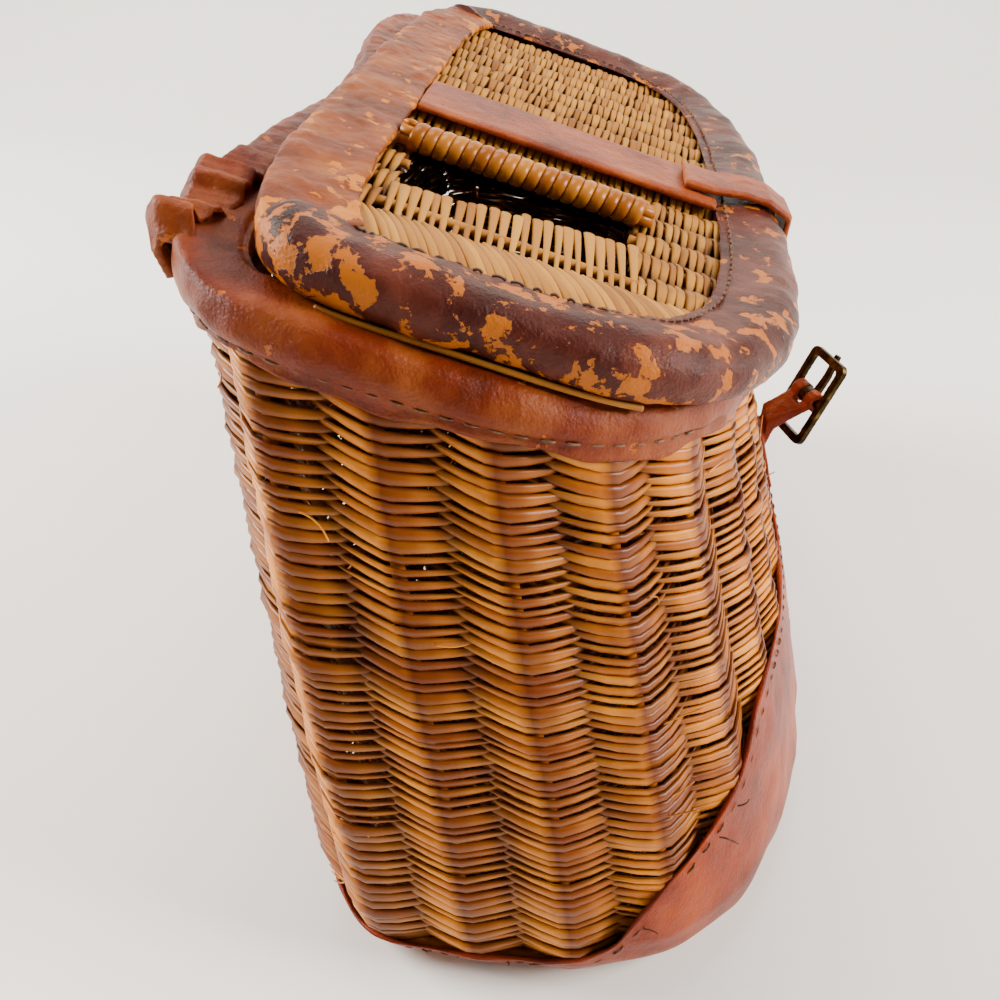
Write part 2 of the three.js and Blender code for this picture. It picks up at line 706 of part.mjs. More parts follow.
// Wide strap over the lid from the back strip to the roll
function lidStrap() {
  const up = PANEL_THICKNESS / 2 + GAP + LEATHER / 2;
  const start = BACK_STRIP_WIDTH + GAP;
  const end = LID_DEPTH - ROLL_WIDTH - GAP;
  const path = [0, 0.5, 1].map((share) => ({ slope: lerp(start, end, share), up }));
  return piece("lid_strap", strapAlong(path, LID_STRAP_WIDTH, LEATHER), strapLeather);
}

// Narrow closing strap over the roll, bent down over the front edge to a short torn tail
function closingStrap() {
  const onStrap = PANEL_THICKNESS / 2 + 2 * GAP + 1.5 * LEATHER;
  const overRoll = ROLL_HEIGHT / 2 + GAP + LEATHER / 2;
  const path = [
    { slope: LID_DEPTH - ROLL_WIDTH - 12, up: onStrap },
    { slope: LID_DEPTH - ROLL_WIDTH - 2, up: onStrap + 0.3 },
    { slope: LID_DEPTH - 0.62 * ROLL_WIDTH, up: overRoll + 0.4 },
    { slope: LID_DEPTH - 0.3 * ROLL_WIDTH, up: overRoll + 0.5 },
    { slope: LID_DEPTH + 0.9, up: 0.66 * overRoll + 1.1 },
    { slope: LID_DEPTH + 2.4, up: 0 },
    { slope: LID_DEPTH + 4.5, up: -KEEPER_TAIL },
  ];
  return piece("closing_strap", strapAlong(path, KEEPER_WIDTH, LEATHER), strapLeather);
}

// Willow-wrapped bar along the strap side of the fish hole
function holeBar() {
  const shape = new THREE.Shape();
  shape.absellipse(0, 0, HOLE_BAR_WIDTH / 2, HOLE_BAR_HEIGHT, 0, Math.PI);
  const length = HOLE_LENGTH + 2 * HOLE_BAR_OVERHANG;
  const bar = new THREE.ExtrudeGeometry(shape, {
    depth: length, bevelEnabled: false, curveSegments: 8,
  });
  bar.rotateX(Math.PI / 2);
  const x = HOLE_CENTRE_X + HOLE_WIDTH / 2 + HOLE_BAR_WIDTH / 2 + 1;
  bar.translate(x, HOLE_BAR_OVERHANG - HOLE_FROM_BACK, PANEL_THICKNESS / 2 + GAP);
  return piece("hole_bar", bar, amberWillow);
}

const lid = new THREE.Group();
lid.add(lidPanel(), lidRoll(), lidBackStrip(), lidStrap(), closingStrap(), holeBar());
lid.position.set(0, BACK_Y, LID_HINGE_Z);
lid.rotation.x = LID_TILT;

const buckle = new THREE.Group();
buckle.add(brassFrame(), brassTongue());
buckle.applyMatrix4(buckleFrame().matrix);

const body = new THREE.Group();
body.add(basketBody(), rimLeather(), hingeLeather(), baseLeather(), frontStrap());

const creel = new THREE.Group();
creel.add(body, lid, buckle);

// The origin is under the middle of the whole, on the ground
creel.updateMatrixWorld(true);
const box = new THREE.Box3().setFromObject(creel, true);
creel.position.set(-(box.min.x + box.max.x) / 2, -(box.min.y + box.max.y) / 2, -box.min.z);

export default creel;
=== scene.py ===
# %% [markdown]
# A split-willow fishing creel with leather trim.
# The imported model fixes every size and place. This lesson gives each piece its real surface:
# the willow is woven strand by strand, and the leather is modelled as padded, creased skins.

# %% Load the frame
import json
import math
import bpy
import numpy as np
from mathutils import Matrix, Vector, noise


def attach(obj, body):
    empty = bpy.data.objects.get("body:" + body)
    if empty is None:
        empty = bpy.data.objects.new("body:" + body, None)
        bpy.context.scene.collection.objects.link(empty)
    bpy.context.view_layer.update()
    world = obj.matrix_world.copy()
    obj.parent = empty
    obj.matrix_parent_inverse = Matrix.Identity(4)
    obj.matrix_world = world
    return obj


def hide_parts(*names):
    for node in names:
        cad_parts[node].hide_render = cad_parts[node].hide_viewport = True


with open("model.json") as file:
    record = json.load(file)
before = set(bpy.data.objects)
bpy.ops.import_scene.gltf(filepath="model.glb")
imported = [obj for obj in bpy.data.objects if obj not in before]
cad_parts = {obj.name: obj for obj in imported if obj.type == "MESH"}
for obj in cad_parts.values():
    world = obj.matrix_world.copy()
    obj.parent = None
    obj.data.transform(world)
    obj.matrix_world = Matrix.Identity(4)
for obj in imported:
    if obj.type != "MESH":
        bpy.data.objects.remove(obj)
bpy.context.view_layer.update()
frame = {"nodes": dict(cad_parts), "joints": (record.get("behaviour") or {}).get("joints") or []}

MM = 0.001
HINGE = next(j for j in frame["joints"] if j["name"] == "lid_hinge")
HINGE_PLACE = np.array(HINGE["pos_m"]) / MM
print("hinge at", HINGE_PLACE.round(1), "mm")

# %% [markdown]
# The photograph looks down on one end of the creel from close by, so near things are large.
# The camera stands at a distance from the hinge line, turned a little towards the back.

# %% Camera
CAMERA_FROM_HINGE = np.array([-334.0, -85.0, 71.0])
CAMERA_PITCH = 36.0
CAMERA_HEADING = 6.3
FOCAL_PIXELS = 940.0
SENSOR_WIDTH = 36.0
FRAME_PIXELS = 1000.0

camera_data = bpy.data.cameras.new("camera")
camera = bpy.data.objects.new("camera", camera_data)
bpy.context.collection.objects.link(camera)
camera_data.sensor_width = SENSOR_WIDTH
camera_data.lens = SENSOR_WIDTH * FOCAL_PIXELS / FRAME_PIXELS
camera_data.clip_start = 0.01
pitch, heading = math.radians(CAMERA_PITCH), math.radians(CAMERA_HEADING)
look = Vector((math.cos(pitch) * math.cos(heading), math.cos(pitch) * math.sin(heading), -math.sin(pitch)))
camera.location = Vector((HINGE_PLACE + CAMERA_FROM_HINGE) * MM)
camera.rotation_mode = "QUATERNION"
camera.rotation_quaternion = look.to_track_quat("-Z", "Y")
bpy.context.scene.camera = camera

# %% [markdown]
# The creel's outline is a D that is rounder at the front than at the back, with a hollow back
# that sits against the hip. The wall is this outline at each level, read off a small table.

# %% Form of the basket
BODY_LENGTH = 356.0
BODY_DEPTH = 176.0
BACK_HOLLOW = 13.0
BACK_HEIGHT = 222.0
LID_TILT = math.radians(16.7)
STAKE_COUNT = 30
FRONT_ROUNDNESS = 2.8
BACK_ROUNDNESS = 5.0
WIDEST_SHARE = 0.4
BACK_Y = BODY_DEPTH / 2
SHIFT_Y = HINGE_PLACE[1] - BACK_Y

# Columns: height, half length, back and front, as shares of the named sizes
SECTIONS = np.array([
    (0.0, 0.925, 0.06, 0.91),
    (0.025, 0.965, 0.035, 0.945),
    (0.07, 0.99, 0.012, 0.965),
    (0.13, 1.0, 0.0, 0.968),
    (0.36, 0.985, -0.015, 0.91),
    (0.6, 0.95, -0.035, 0.832),
    (0.84, 0.89, -0.058, 0.762),
    (1.0, 0.85, -0.075, 0.735),
])


def outline(half_length, back_y, front_y, hollow, steps=720, roundness=FRONT_ROUNDNESS):
    """Evenly spaced points and outward normals of the D, from the middle of the front round."""
    widest = back_y + (front_y - back_y) * WIDEST_SHARE
    angle = np.arange(3 * steps) / (3 * steps) * 2 * np.pi
    across, forward = np.sin(angle), np.cos(angle)
    power = np.where(forward > 0, roundness, BACK_ROUNDNESS)
    reach = np.where(forward > 0, widest - front_y, back_y - widest)
    x = np.sign(across) * half_length * np.abs(across) ** (2 / power)
    y = widest - np.sign(forward) * reach * np.abs(forward) ** (2 / power)
    backness = np.maximum(0, (y - widest) / (back_y - widest))
    y = y - hollow * backness * np.cos(0.5 * np.pi * x / half_length) ** 2
    loop = np.stack([x, y], 1)
    closed = np.vstack([loop, loop[:1]])
    length = np.concatenate([[0], np.cumsum(np.linalg.norm(np.diff(closed, axis=0), axis=1))])
    wanted = np.arange(steps) / steps * length[-1]
    points = np.stack([np.interp(wanted, length, closed[:, k]) for k in (0, 1)], 1)
    along = np.roll(points, -2, 0) - np.roll(points, 2, 0)
    along /= np.linalg.norm(along, axis=1)[:, None]
    return points, np.stack([along[:, 1], -along[:, 0]], 1)


def rim_height(y):
    return BACK_HEIGHT - (BACK_Y - y) * math.tan(LID_TILT)


LEVELS = np.linspace(0, 1, 61)
WALL_STEPS = 720
wall_points, wall_normals, wall_z = [], [], []
for level in LEVELS:
    share = [np.interp(level, SECTIONS[:, 0], SECTIONS[:, k]) for k in (1, 2, 3)]
    back, front = BACK_Y - BODY_DEPTH * share[1], BACK_Y - BODY_DEPTH * share[2]
    points, normals = outline(BODY_LENGTH / 2 * share[0], back, front, BACK_HOLLOW, WALL_STEPS)
    rim_back, rim_front = BACK_Y - BODY_DEPTH * SECTIONS[-1, 2], BACK_Y - BODY_DEPTH * SECTIONS[-1, 3]
    rim_y = rim_front + (points[:, 1] - front) / (back - front) * (rim_back - rim_front)
    wall_points.append(points)
    wall_normals.append(normals)
    wall_z.append(rim_height(rim_y))
wall_points, wall_normals, wall_z = map(np.array, (wall_points, wall_normals, wall_z))


def wall(around, level, out, up=0.0):
    """Places on the wall: share of the way round, share of the height, and offsets in mm."""
    around, level, out, up = np.broadcast_arrays(around, level, out, up)
    a = (around % 1.0) * WALL_STEPS
    i, fa = np.floor(a).astype(int) % WALL_STEPS, (a % 1.0)[..., None]
    j = (i + 1) % WALL_STEPS
    b = np.clip(level, 0, 1) * (len(LEVELS) - 1)
    k = np.minimum(np.floor(b).astype(int), len(LEVELS) - 2)
    fb = (b - k)[..., None]

    def read(table):
        low = table[k, i] * (1 - fa) + table[k, j] * fa
        high = table[k + 1, i] * (1 - fa) + table[k + 1, j] * fa
        return low * (1 - fb) + high * fb

    flat = read(wall_points) + read(wall_normals) * out[..., None]
    height = read(wall_z[..., None])[..., 0] * level + up
    forward = flat[..., 1] - read(wall_points)[..., 1]
    height = height + np.where(level >= 1, forward * math.tan(LID_TILT), 0)
    return np.stack([flat[..., 0], flat[..., 1] + SHIFT_Y, height], -1)


# %% [markdown]
# Small helpers: one makes a mesh piece, hangs it on its body and hides the imported parts that it replaces,
# one adds a shader node, and one turns the sRGB hex colours that a painter picks into the linear ones
# Blender needs.

# %% Helpers
def make_piece(name, verts, faces, body, material, replaces, values=None):
    mesh = bpy.data.meshes.new(name)
    mesh.from_pydata((np.asarray(verts) * MM).tolist(), [], faces)
    mesh.validate()
    mesh.polygons.foreach_set("use_smooth", [True] * len(mesh.polygons))
    for key, column in (values or {}).items():
        attribute = mesh.attributes.new(key, "FLOAT", "POINT")
        attribute.data.foreach_set("value", np.asarray(column, np.float32))
    mesh.materials.append(material)
    piece = bpy.data.objects.new(name, mesh)
    bpy.context.collection.objects.link(piece)
    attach(piece, body)
    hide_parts(*replaces)
    print(name, len(mesh.polygons), "faces")
    return piece


def linear(hex_colour):
    channels = [int(hex_colour[i:i + 2], 16) / 255 for i in (1, 3, 5)]
    return [c / 12.92 if c < 0.04045 else ((c + 0.055) / 1.055) ** 2.4 for c in channels] + [1.0]


def add_node(tree, kind, links=None, stops=(), **settings):
    """Adds a node. links maps an input to a value or an output, and stops are a colour ramp's."""
    node = tree.nodes.new(kind)
    for key, value in settings.items():
        setattr(node, key, value)
    while 2 < len(stops) > len(node.color_ramp.elements):
        node.color_ramp.elements.new(0.5)
    for i, (place, colour) in enumerate(stops):
        stop = node.color_ramp.elements[i]
        stop.position = place
        stop.color = linear(colour) if isinstance(colour, str) else [colour] * 3 + [1]
    for key, value in (links or {}).items():
        socket = node.inputs[key]
        if isinstance(value, bpy.types.NodeSocket):
            tree.links.new(value, socket)
        else:
            socket.default_value = value
    return node


def start_material(name, roughness, **shader_values):
    material = bpy.data.materials.new(name)
    material.use_nodes = True
    tree = material.node_tree
    shader = tree.nodes["Principled BSDF"]
    shader.inputs["Roughness"].default_value = roughness
    for key, value in shader_values.items():
        shader.inputs[key].default_value = value
    return material, tree, shader


def grid_faces(rows, columns, close_rows=False):
    faces = []
    for r in range(rows if close_rows else rows - 1):
        a, b = r * columns, ((r + 1) % rows) * columns
        for c in range(columns):
            d = (c + 1) % columns
            faces.append((a + c, a + d, b + d, b + c))
    return faces


def smooth_loop(points, steps):
    """A closed outline through a few points, as a smooth curve."""
    p = np.array(points, float)
    t = np.arange(steps) / steps * len(p)
    i, f = np.floor(t).astype(int), (t % 1.0)[:, None]
    a, b, c, d = (p[(i + k) % len(p)] for k in (-1, 0, 1, 2))
    curve = 2 * b + (c - a) * f + (2 * a - 5 * b + 4 * c - d) * f ** 2 + (3 * b - a - 3 * c + d) * f ** 3
    return 0.5 * curve


def rumple(piece, amount, size, seed):
    """Moves each point along its normal by soft noise: amount and size in mm."""
    mesh = piece.data
    count = len(mesh.vertices)
    co, normal = np.empty(count * 3), np.empty(count * 3)
    mesh.vertices.foreach_get("co", co)
    mesh.vertex_normals.foreach_get("vector", normal)
    co, normal = co.reshape(-1, 3), normal.reshape(-1, 3)
    place = co / (size * MM) + seed
    push = np.array([noise.fractal(Vector(p), 1.0, 2.0, 3) for p in place])
    co = co + normal * (push * amount * MM)[:, None]
    mesh.vertices.foreach_set("co", co.ravel())
    mesh.update()


def set_wear(piece, wear_at):
    """Stores how far the leather's finish is rubbed off at each point, from its place in mm."""
    mesh = piece.data
    co = np.empty(len(mesh.vertices) * 3)
    mesh.vertices.foreach_get("co", co)
    attribute = mesh.attributes.new("wear", "FLOAT", "POINT")
    attribute.data.foreach_set("value", np.asarray(wear_at(co.reshape(-1, 3) / MM), np.float32))


rng = np.random.default_rng(7)

# %% [markdown]
# Willow is Salix wood. Split rods are woven wet, and then varnished: the skin is satin, and the varnish is
# darker in blotches. Light is painted into the colour as well: each strand is paler on one half as a painted
# highlight, a band of painted shade runs from its crown to one side, and its tips and upper and lower edges
# carry painted shade.

# %% Willow materials
FIBRE_MM = 0.5
VARNISH_BLOTCHES_PER_M = 28.0  # about 36 mm each, where the varnish is darker


def willow(name, pale, mid, deep, stain_and_shade, roughness, stain_and_shade_amount):
    material, tree, shader = start_material(name, roughness, IOR=1.5, **{"Specular IOR Level": 0.22})
    tone = add_node(tree, "ShaderNodeAttribute", attribute_name="tone").outputs["Fac"]
    along = add_node(tree, "ShaderNodeAttribute", attribute_name="along").outputs["Fac"]
    edge = add_node(tree, "ShaderNodeAttribute", attribute_name="edge").outputs["Fac"]
    place = add_node(tree, "ShaderNodeTexCoord").outputs["Object"]
    blotch = add_node(tree, "ShaderNodeTexNoise", {"Vector": place, "Scale": VARNISH_BLOTCHES_PER_M,
                                                     "Detail": 4.0})
    base = add_node(tree, "ShaderNodeValToRGB", {"Fac": tone},
                    stops=[(0.0, deep), (0.35, mid), (1.0, pale)]).outputs["Color"]
    stained = add_node(tree, "ShaderNodeValToRGB", {"Fac": blotch.outputs["Fac"]},
                       stops=[(0.52, 0.0), (0.70, 0.7)]).outputs["Color"]
    # Painted shade: a dark band runs from each strand's crown (along 0.5) to its far side (along 0.85), the
    # side turned from the light. It is joined with the real varnish blotches, and both are mixed towards the
    # stain and shade colour.
    crown = [(0.43, 0.0), (0.5, 1.0), (0.6, 0.85), (0.74, 0.25), (0.85, 0.0)]
    painted_crown_shade = add_node(tree, "ShaderNodeValToRGB", {"Fac": along}, stops=crown).outputs["Color"]
    painted_crown_shade_amount = add_node(tree, "ShaderNodeMath", {0: painted_crown_shade, 1: 0.9}, operation="MULTIPLY").outputs[0]
    both = add_node(tree, "ShaderNodeMath", {0: stained, 1: painted_crown_shade_amount}, operation="MAXIMUM").outputs[0]
    amount = add_node(tree, "ShaderNodeMath", {0: both, 1: stain_and_shade_amount}, operation="MULTIPLY")
    colour = add_node(tree, "ShaderNodeMix", {0: amount.outputs[0], 6: base, 7: linear(stain_and_shade)},
                      data_type="RGBA")
    # Painted shade: both ends of each strand, where it passes behind the next stakes, and its upper and
    # lower edges, where one strand shades the next, are mixed towards a near-black brown.
    tips = add_node(tree, "ShaderNodeValToRGB", {"Fac": along},
                    stops=[(0.2, 1.0), (0.35, 0.0), (0.66, 0.0), (0.8, 1.0)]).outputs["Color"]
    dark = add_node(tree, "ShaderNodeValToRGB", {"Fac": edge},
                    stops=[(0.0, 0.0), (0.6, 0.0), (1.0, 1.0)]).outputs["Color"]
    hollow = add_node(tree, "ShaderNodeMath", {0: dark, 1: tips}, operation="MAXIMUM").outputs[0]
    painted_shade_amount = add_node(tree, "ShaderNodeMath", {0: hollow, 1: 0.85}, operation="MULTIPLY").outputs[0]
    shaded = add_node(tree, "ShaderNodeMix", {0: painted_shade_amount, 6: colour.outputs[2], 7: linear("#3A1404")},
                      data_type="RGBA")
    tree.links.new(shaded.outputs[2], shader.inputs["Base Color"])
    fibre = add_node(tree, "ShaderNodeTexNoise", {"Vector": place, "Scale": 1 / (FIBRE_MM * MM)})
    bump = add_node(tree, "ShaderNodeBump", {"Strength": 0.15, "Distance": 0.0003,
                                              "Height": fibre.outputs["Fac"]})
    tree.links.new(bump.outputs[0], shader.inputs["Normal"])
    return material


# The fourth colour paints both the varnish blotches and the shade beside each crown, and the last number
# scales both.
BODY_WILLOW = willow("varnished_split_willow", "#E08C1C", "#B4620A", "#703204", "#561E00", 0.34, 1.0)
LID_WILLOW = willow("dry_split_willow", "#C08630", "#9A621E", "#60340C", "#5E3006", 0.55, 0.4)
AMBER_WILLOW = willow("amber_varnished_willow", "#B87420", "#965410", "#6A3206", "#5E2A04", 0.28, 0.3)

# %% [markdown]
# Leather starts as vegetable-tanned hide: satin, with fine pores. Its finish coat is darker than
# the flesh below, so where the coat has flaked the orange hide shows. A threshold on soft noise
# gives flakes with sharp borders, and a bump at their edge gives the coat its thickness.

# %% Leather materials
PORE_MM = 0.9
CREASE_MM = 7.0
CLOUDS_PER_M = 38.0  # about 26 mm each, where the dye took unevenly
FLAKES_PER_M = 140.0  # about 7 mm between the places where the coat flakes
SCUFFS_PER_M = 14.0  # about 70 mm, as wide as the places that a hand or hip rubs


def leather(name, dark, mid, light, flake, flake_level, roughness, wear_level=0.62):
    material, tree, shader = start_material(name, roughness, IOR=1.45, **{"Specular IOR Level": 0.2})
    place = add_node(tree, "ShaderNodeTexCoord").outputs["Object"]
    cloud = add_node(tree, "ShaderNodeTexNoise", {"Vector": place, "Scale": CLOUDS_PER_M, "Detail": 6.0,
                                                   "Roughness": 0.6})
    base = add_node(tree, "ShaderNodeValToRGB", {"Fac": cloud.outputs["Fac"]},
                    stops=[(0.3, dark), (0.5, mid), (0.72, light)]).outputs["Color"]
    flakes = add_node(tree, "ShaderNodeTexNoise", {"Vector": place, "Scale": FLAKES_PER_M, "Detail": 5.0,
                                                    "Roughness": 0.6, "Distortion": 0.15})
    wear = add_node(tree, "ShaderNodeAttribute", attribute_name="wear").outputs["Fac"]
    rubbed = add_node(tree, "ShaderNodeMath", {0: wear, 1: 0.16, 2: flakes.outputs["Fac"]},
                      operation="MULTIPLY_ADD").outputs[0]
    bare = add_node(tree, "ShaderNodeValToRGB", {"Fac": rubbed},
                    stops=[(flake_level, 0.0), (flake_level + 0.012, 1.0)]).outputs["Color"]
    coated = add_node(tree, "ShaderNodeMix", {0: bare, 6: base, 7: linear(flake)}, data_type="RGBA")
    scuff = add_node(tree, "ShaderNodeTexNoise", {"Vector": place, "Scale": SCUFFS_PER_M, "Detail": 8.0})
    scuffed = add_node(tree, "ShaderNodeValToRGB", {"Fac": scuff.outputs["Fac"]},
                       stops=[(wear_level, 0.0), (wear_level + 0.15, 0.6)]).outputs["Color"]
    worn = add_node(tree, "ShaderNodeMix", {0: scuffed, 6: coated.outputs[2], 7: linear(light)},
                    data_type="RGBA")
    pores = add_node(tree, "ShaderNodeTexVoronoi", {"Vector": place, "Scale": 1 / (PORE_MM * MM)})
    creases = add_node(tree, "ShaderNodeTexNoise", {"Vector": place, "Scale": 1 / (CREASE_MM * MM),
                                                     "Detail": 8.0, "Roughness": 0.7})
    tree.links.new(worn.outputs[2], shader.inputs["Base Color"])
    skin = add_node(tree, "ShaderNodeBump", {"Strength": 0.25, "Distance": 0.0004,
                                              "Height": pores.outputs["Distance"]})
    folds = add_node(tree, "ShaderNodeBump", {"Strength": 0.5, "Distance": 0.0016,
                                               "Height": creases.outputs["Fac"],
                                               "Normal": skin.outputs[0]})
    coat = add_node(tree, "ShaderNodeBump", {"Strength": 0.7, "Distance": 0.0004, "Height": bare,
                                              "Normal": folds.outputs[0]}, invert=True)
    tree.links.new(coat.outputs[0], shader.inputs["Normal"])
    return material


ROLL_LEATHER = leather("flaked_finished_leather", "#240A07", "#45170D", "#6C3425", "#AC5C0A", 0.565, 0.34)
RIM_LEATHER = leather("padded_tan_leather", "#3E1003", "#6A2406", "#904A1C", "#A8540A", 0.66, 0.36)
BACK_LEATHER = leather("dusty_tan_leather", "#4E1C06", "#7A360C", "#9E581C", "#C07008", 0.60, 0.42)
STRAP_LEATHER = leather("smooth_strap_leather", "#5A1E06", "#84360E", "#A45420", "#481604", 0.70, 0.36)
BASE_LEATHER = leather("reddish_harness_leather", "#481204", "#7C2806", "#9C400E", "#3A0E02", 0.70, 0.34)

# %% [markdown]
# The buckle is brass whose lacquer is long gone: a dark brown patina with a little bare metal.
# The thread is waxed linen, dull and pale brown.

# %% Brass and thread materials
PATINA_SPOTS_PER_M = 300.0  # about 3 mm each
THREAD_TURNS_PER_M = 900.0  # about 1 mm, the lay of the thread
brass, brass_tree, brass_shader = start_material("patinated_brass", 0.42, Metallic=1.0)
brass_place = add_node(brass_tree, "ShaderNodeTexCoord").outputs["Object"]
patina = add_node(brass_tree, "ShaderNodeTexNoise", {"Vector": brass_place,
                                                           "Scale": PATINA_SPOTS_PER_M, "Detail": 6.0})
brass_colour = add_node(brass_tree, "ShaderNodeValToRGB", {"Fac": patina.outputs["Fac"]},
                        stops=[(0.35, "#1C1408"), (0.55, "#382A14"), (0.75, "#66522A")]).outputs["Color"]
brass_tree.links.new(brass_colour, brass_shader.inputs["Base Color"])

thread, thread_tree, thread_shader = start_material("waxed_linen_thread", 0.7)
thread_place = add_node(thread_tree, "ShaderNodeTexCoord").outputs["Object"]
ply = add_node(thread_tree, "ShaderNodeTexNoise", {"Vector": thread_place,
                                                         "Scale": THREAD_TURNS_PER_M})
thread_colour = add_node(thread_tree, "ShaderNodeValToRGB", {"Fac": ply.outputs["Fac"]},
                         stops=[(0.3, "#2A140A"), (0.7, "#7A5030")]).outputs["Color"]
thread_tree.links.new(thread_colour, thread_shader.inputs["Base Color"])

# %% [markdown]
# A strand of the weave passes over one stake and behind its two neighbours, and the columns
# beside it are half a row off. Each strand is as wide as a row where it crosses its stake, and
# narrows between the stakes, so the visible parts are leaves whose tips lock together.

# %% Strand builder
STATIONS = np.array([-1, -0.75, -0.5, -0.28, -0.08, 0.08, 0.28, 0.5, 0.75, 1.0])
SECTION_ANGLES = np.radians(np.arange(6) * 60 + 30)


def strand_mesh(place, column, row, pitch, lift, thick, seed, sag=0.37, loose=1.0):
    """All strands of one weave; place turns a column, a row and mm out and up into points."""
    noise_source = np.random.default_rng(seed)
    count = len(column)
    t = STATIONS[None, :, None]
    angle = SECTION_ANGLES[None, None, :]
    spread = noise_source.normal(0, 1, (count, 7))[:, :, None, None]
    pitch = np.broadcast_to(pitch, count)[:, None, None]
    narrow = np.where(noise_source.random(count) < 0.05, 0.7, 1.0)[:, None, None]
    width = pitch * (0.70 + 0.48 * np.abs(np.cos(np.pi * t))) * (1 + 0.08 * spread[:, 0]) * narrow
    body = thick * (1 - 0.5 * np.abs(t) ** 3) * (1 + 0.1 * spread[:, 1])
    reach = 0.98 * (1 + 0.02 * spread[:, 2])
    bend = 1.06 - 2 * np.sqrt(t ** 2 + 0.003)
    out = lift * (bend * (1 + 0.05 * loose * spread[:, 3]) - 0.2) + 0.16 * loose * spread[:, 4]
    up = pitch * (sag * t ** 2 + loose * (0.07 * spread[:, 5] + 0.06 * spread[:, 6] * t))
    out = out + np.cos(angle) * body
    out = out + 0.12 * pitch * spread[:, 6] * np.sin(angle)
    up = up + np.sin(angle) * width / 2
    out, up = np.broadcast_arrays(out, up)
    u = np.broadcast_to(column[:, None, None] + t * reach, out.shape)
    points = place(u, row[:, None, None], out, up)
    rings = len(STATIONS)
    # Each strand has its own random tone, and is painted paler on its first half (t below 0) and darker on
    # its second: a painted highlight and shade from the side light.
    tone = noise_source.normal(0.6, 0.2, count)[:, None, None] - 0.14 * t
    tone = np.clip(np.broadcast_to(tone, out.shape), 0, 1)
    along = np.broadcast_to((t + 1) / 2, out.shape)
    # edge is 1 at the strand's upper and lower edges, where the willow material paints shade.
    edge = np.broadcast_to(np.sin(angle) ** 2, out.shape)
    one = grid_faces(rings, 6) + [tuple(range(6))[::-1], tuple((rings - 1) * 6 + np.arange(6))]
    quads = np.array([f for f in one if len(f) == 4])
    caps = np.array([f for f in one if len(f) == 6])
    base = (np.arange(count) * rings * 6)[:, None, None]
    faces = (quads[None] + base).reshape(-1, 4).tolist() + (caps[None] + base).reshape(-1, 6).tolist()
    values = {"tone": tone.ravel(), "along": along.ravel(), "edge": edge.ravel()}
    return points.reshape(-1, 3), faces, values


def tube_mesh(paths, half_wide, half_thick, outward, sides=8):
    """Closed rods along paths (count, stations, 3); outward is the way that their faces look."""
    paths = np.asarray(paths, float)
    count, stations = paths.shape[:2]
    along = np.gradient(paths, axis=1)
    along /= np.linalg.norm(along, axis=2)[..., None] + 1e-9
    face = np.broadcast_to(np.asarray(outward, float), paths.shape)
    side = np.cross(along, face)
    side /= np.linalg.norm(side, axis=2)[..., None] + 1e-9
    face = np.cross(side, along)
    angle = np.arange(sides) / sides * 2 * np.pi
    wide = np.broadcast_to(half_wide, (count, stations))[..., None, None]
    thick = np.broadcast_to(half_thick, (count, stations))[..., None, None]
    ring = (side[:, :, None] * (np.cos(angle)[:, None] * wide)
            + face[:, :, None] * (np.sin(angle)[:, None] * thick))
    points = paths[:, :, None] + ring
    quads = np.array(grid_faces(stations, sides))
    caps = np.array([np.arange(sides)[::-1], (stations - 1) * sides + np.arange(sides)])
    base = (np.arange(count) * stations * sides)[:, None, None]
    faces = (quads[None] + base).reshape(-1, 4).tolist() + (caps[None] + base).reshape(-1, sides).tolist()
    return points.reshape(-1, 3), faces


# A place along a strand that has neither the painted shade at its tips nor the painted shade beside its
# crown
CLEAN_PART = 0.38


def flat_values(tone):
    """Values of a rod that has neither painted shade at its tips nor painted shade beside its crown, only
    its own tone.
    """
    return {"tone": tone, "along": np.full(len(tone), CLEAN_PART), "edge": np.zeros(len(tone))}


def even_values(points, seed, low=0.3, high=0.9):
    wave = np.sin(points[:, 0] * 0.37 + seed) * np.sin(points[:, 2] * 0.61 + 2 * seed)
    return flat_values(np.clip((low + high) / 2 + wave * (high - low) / 2, 0, 1))


# %% [markdown]
# The wall is two sets of strands: those that cross the even stakes, and those that cross the odd
# ones. Sixty rows are beaten down hard, and they lie closest a little above the middle.

# %% Basket wall
ROWS = 60
WALL_LIFT, WALL_STRAND_THICK, WALL_SAG = 5.2, 0.85, 0.5
columns, rows = np.meshgrid(np.arange(STAKE_COUNT), np.arange(ROWS), indexing="ij")
columns, rows = columns.ravel(), rows.ravel()
share = (rows + 0.5 * (columns % 2) + 0.4) / ROWS
levels = (1.2 * share - 0.5 * share ** 2 + 0.267 * share ** 3) / 0.967
row_pitch = (1.2 - share + 0.8 * share ** 2) / 0.967 / ROWS * 200.0
levels = np.clip(levels, 0.02, 0.985)


def wall_place(u, row, out, up):
    return wall(u / STAKE_COUNT, row, out, up)


for name, chosen in (("wall_weave_a", columns % 2 == 0), ("wall_weave_b", columns % 2 == 1)):
    points, faces, values = strand_mesh(wall_place, columns[chosen].astype(float), levels[chosen],
                                        row_pitch[chosen], WALL_LIFT, WALL_STRAND_THICK,
                                        11 + len(name), sag=WALL_SAG)
    make_piece(name, points, faces, "basket", BODY_WILLOW, ["basket_body"], values=values)

# %% [markdown]
# The stakes are thicker rods that the strands bend round. They show only in the gaps.

# %% Stakes of the wall
stake_levels = np.linspace(0.01, 0.985, 40)
STAKE_PLACE = 0.9  # mm outside the wall's middle
stake_around = np.arange(STAKE_COUNT)[:, None] / STAKE_COUNT
stake_paths = wall(stake_around, stake_levels, STAKE_PLACE)
stake_out = wall(stake_around, stake_levels, 9.0)
points, faces = tube_mesh(stake_paths, 1.9, 1.4, stake_out - stake_paths)
make_piece("wall_stakes", points, faces, "basket", BODY_WILLOW, ["basket_body"],
           values=even_values(points, 1.0, 0.1, 0.5))

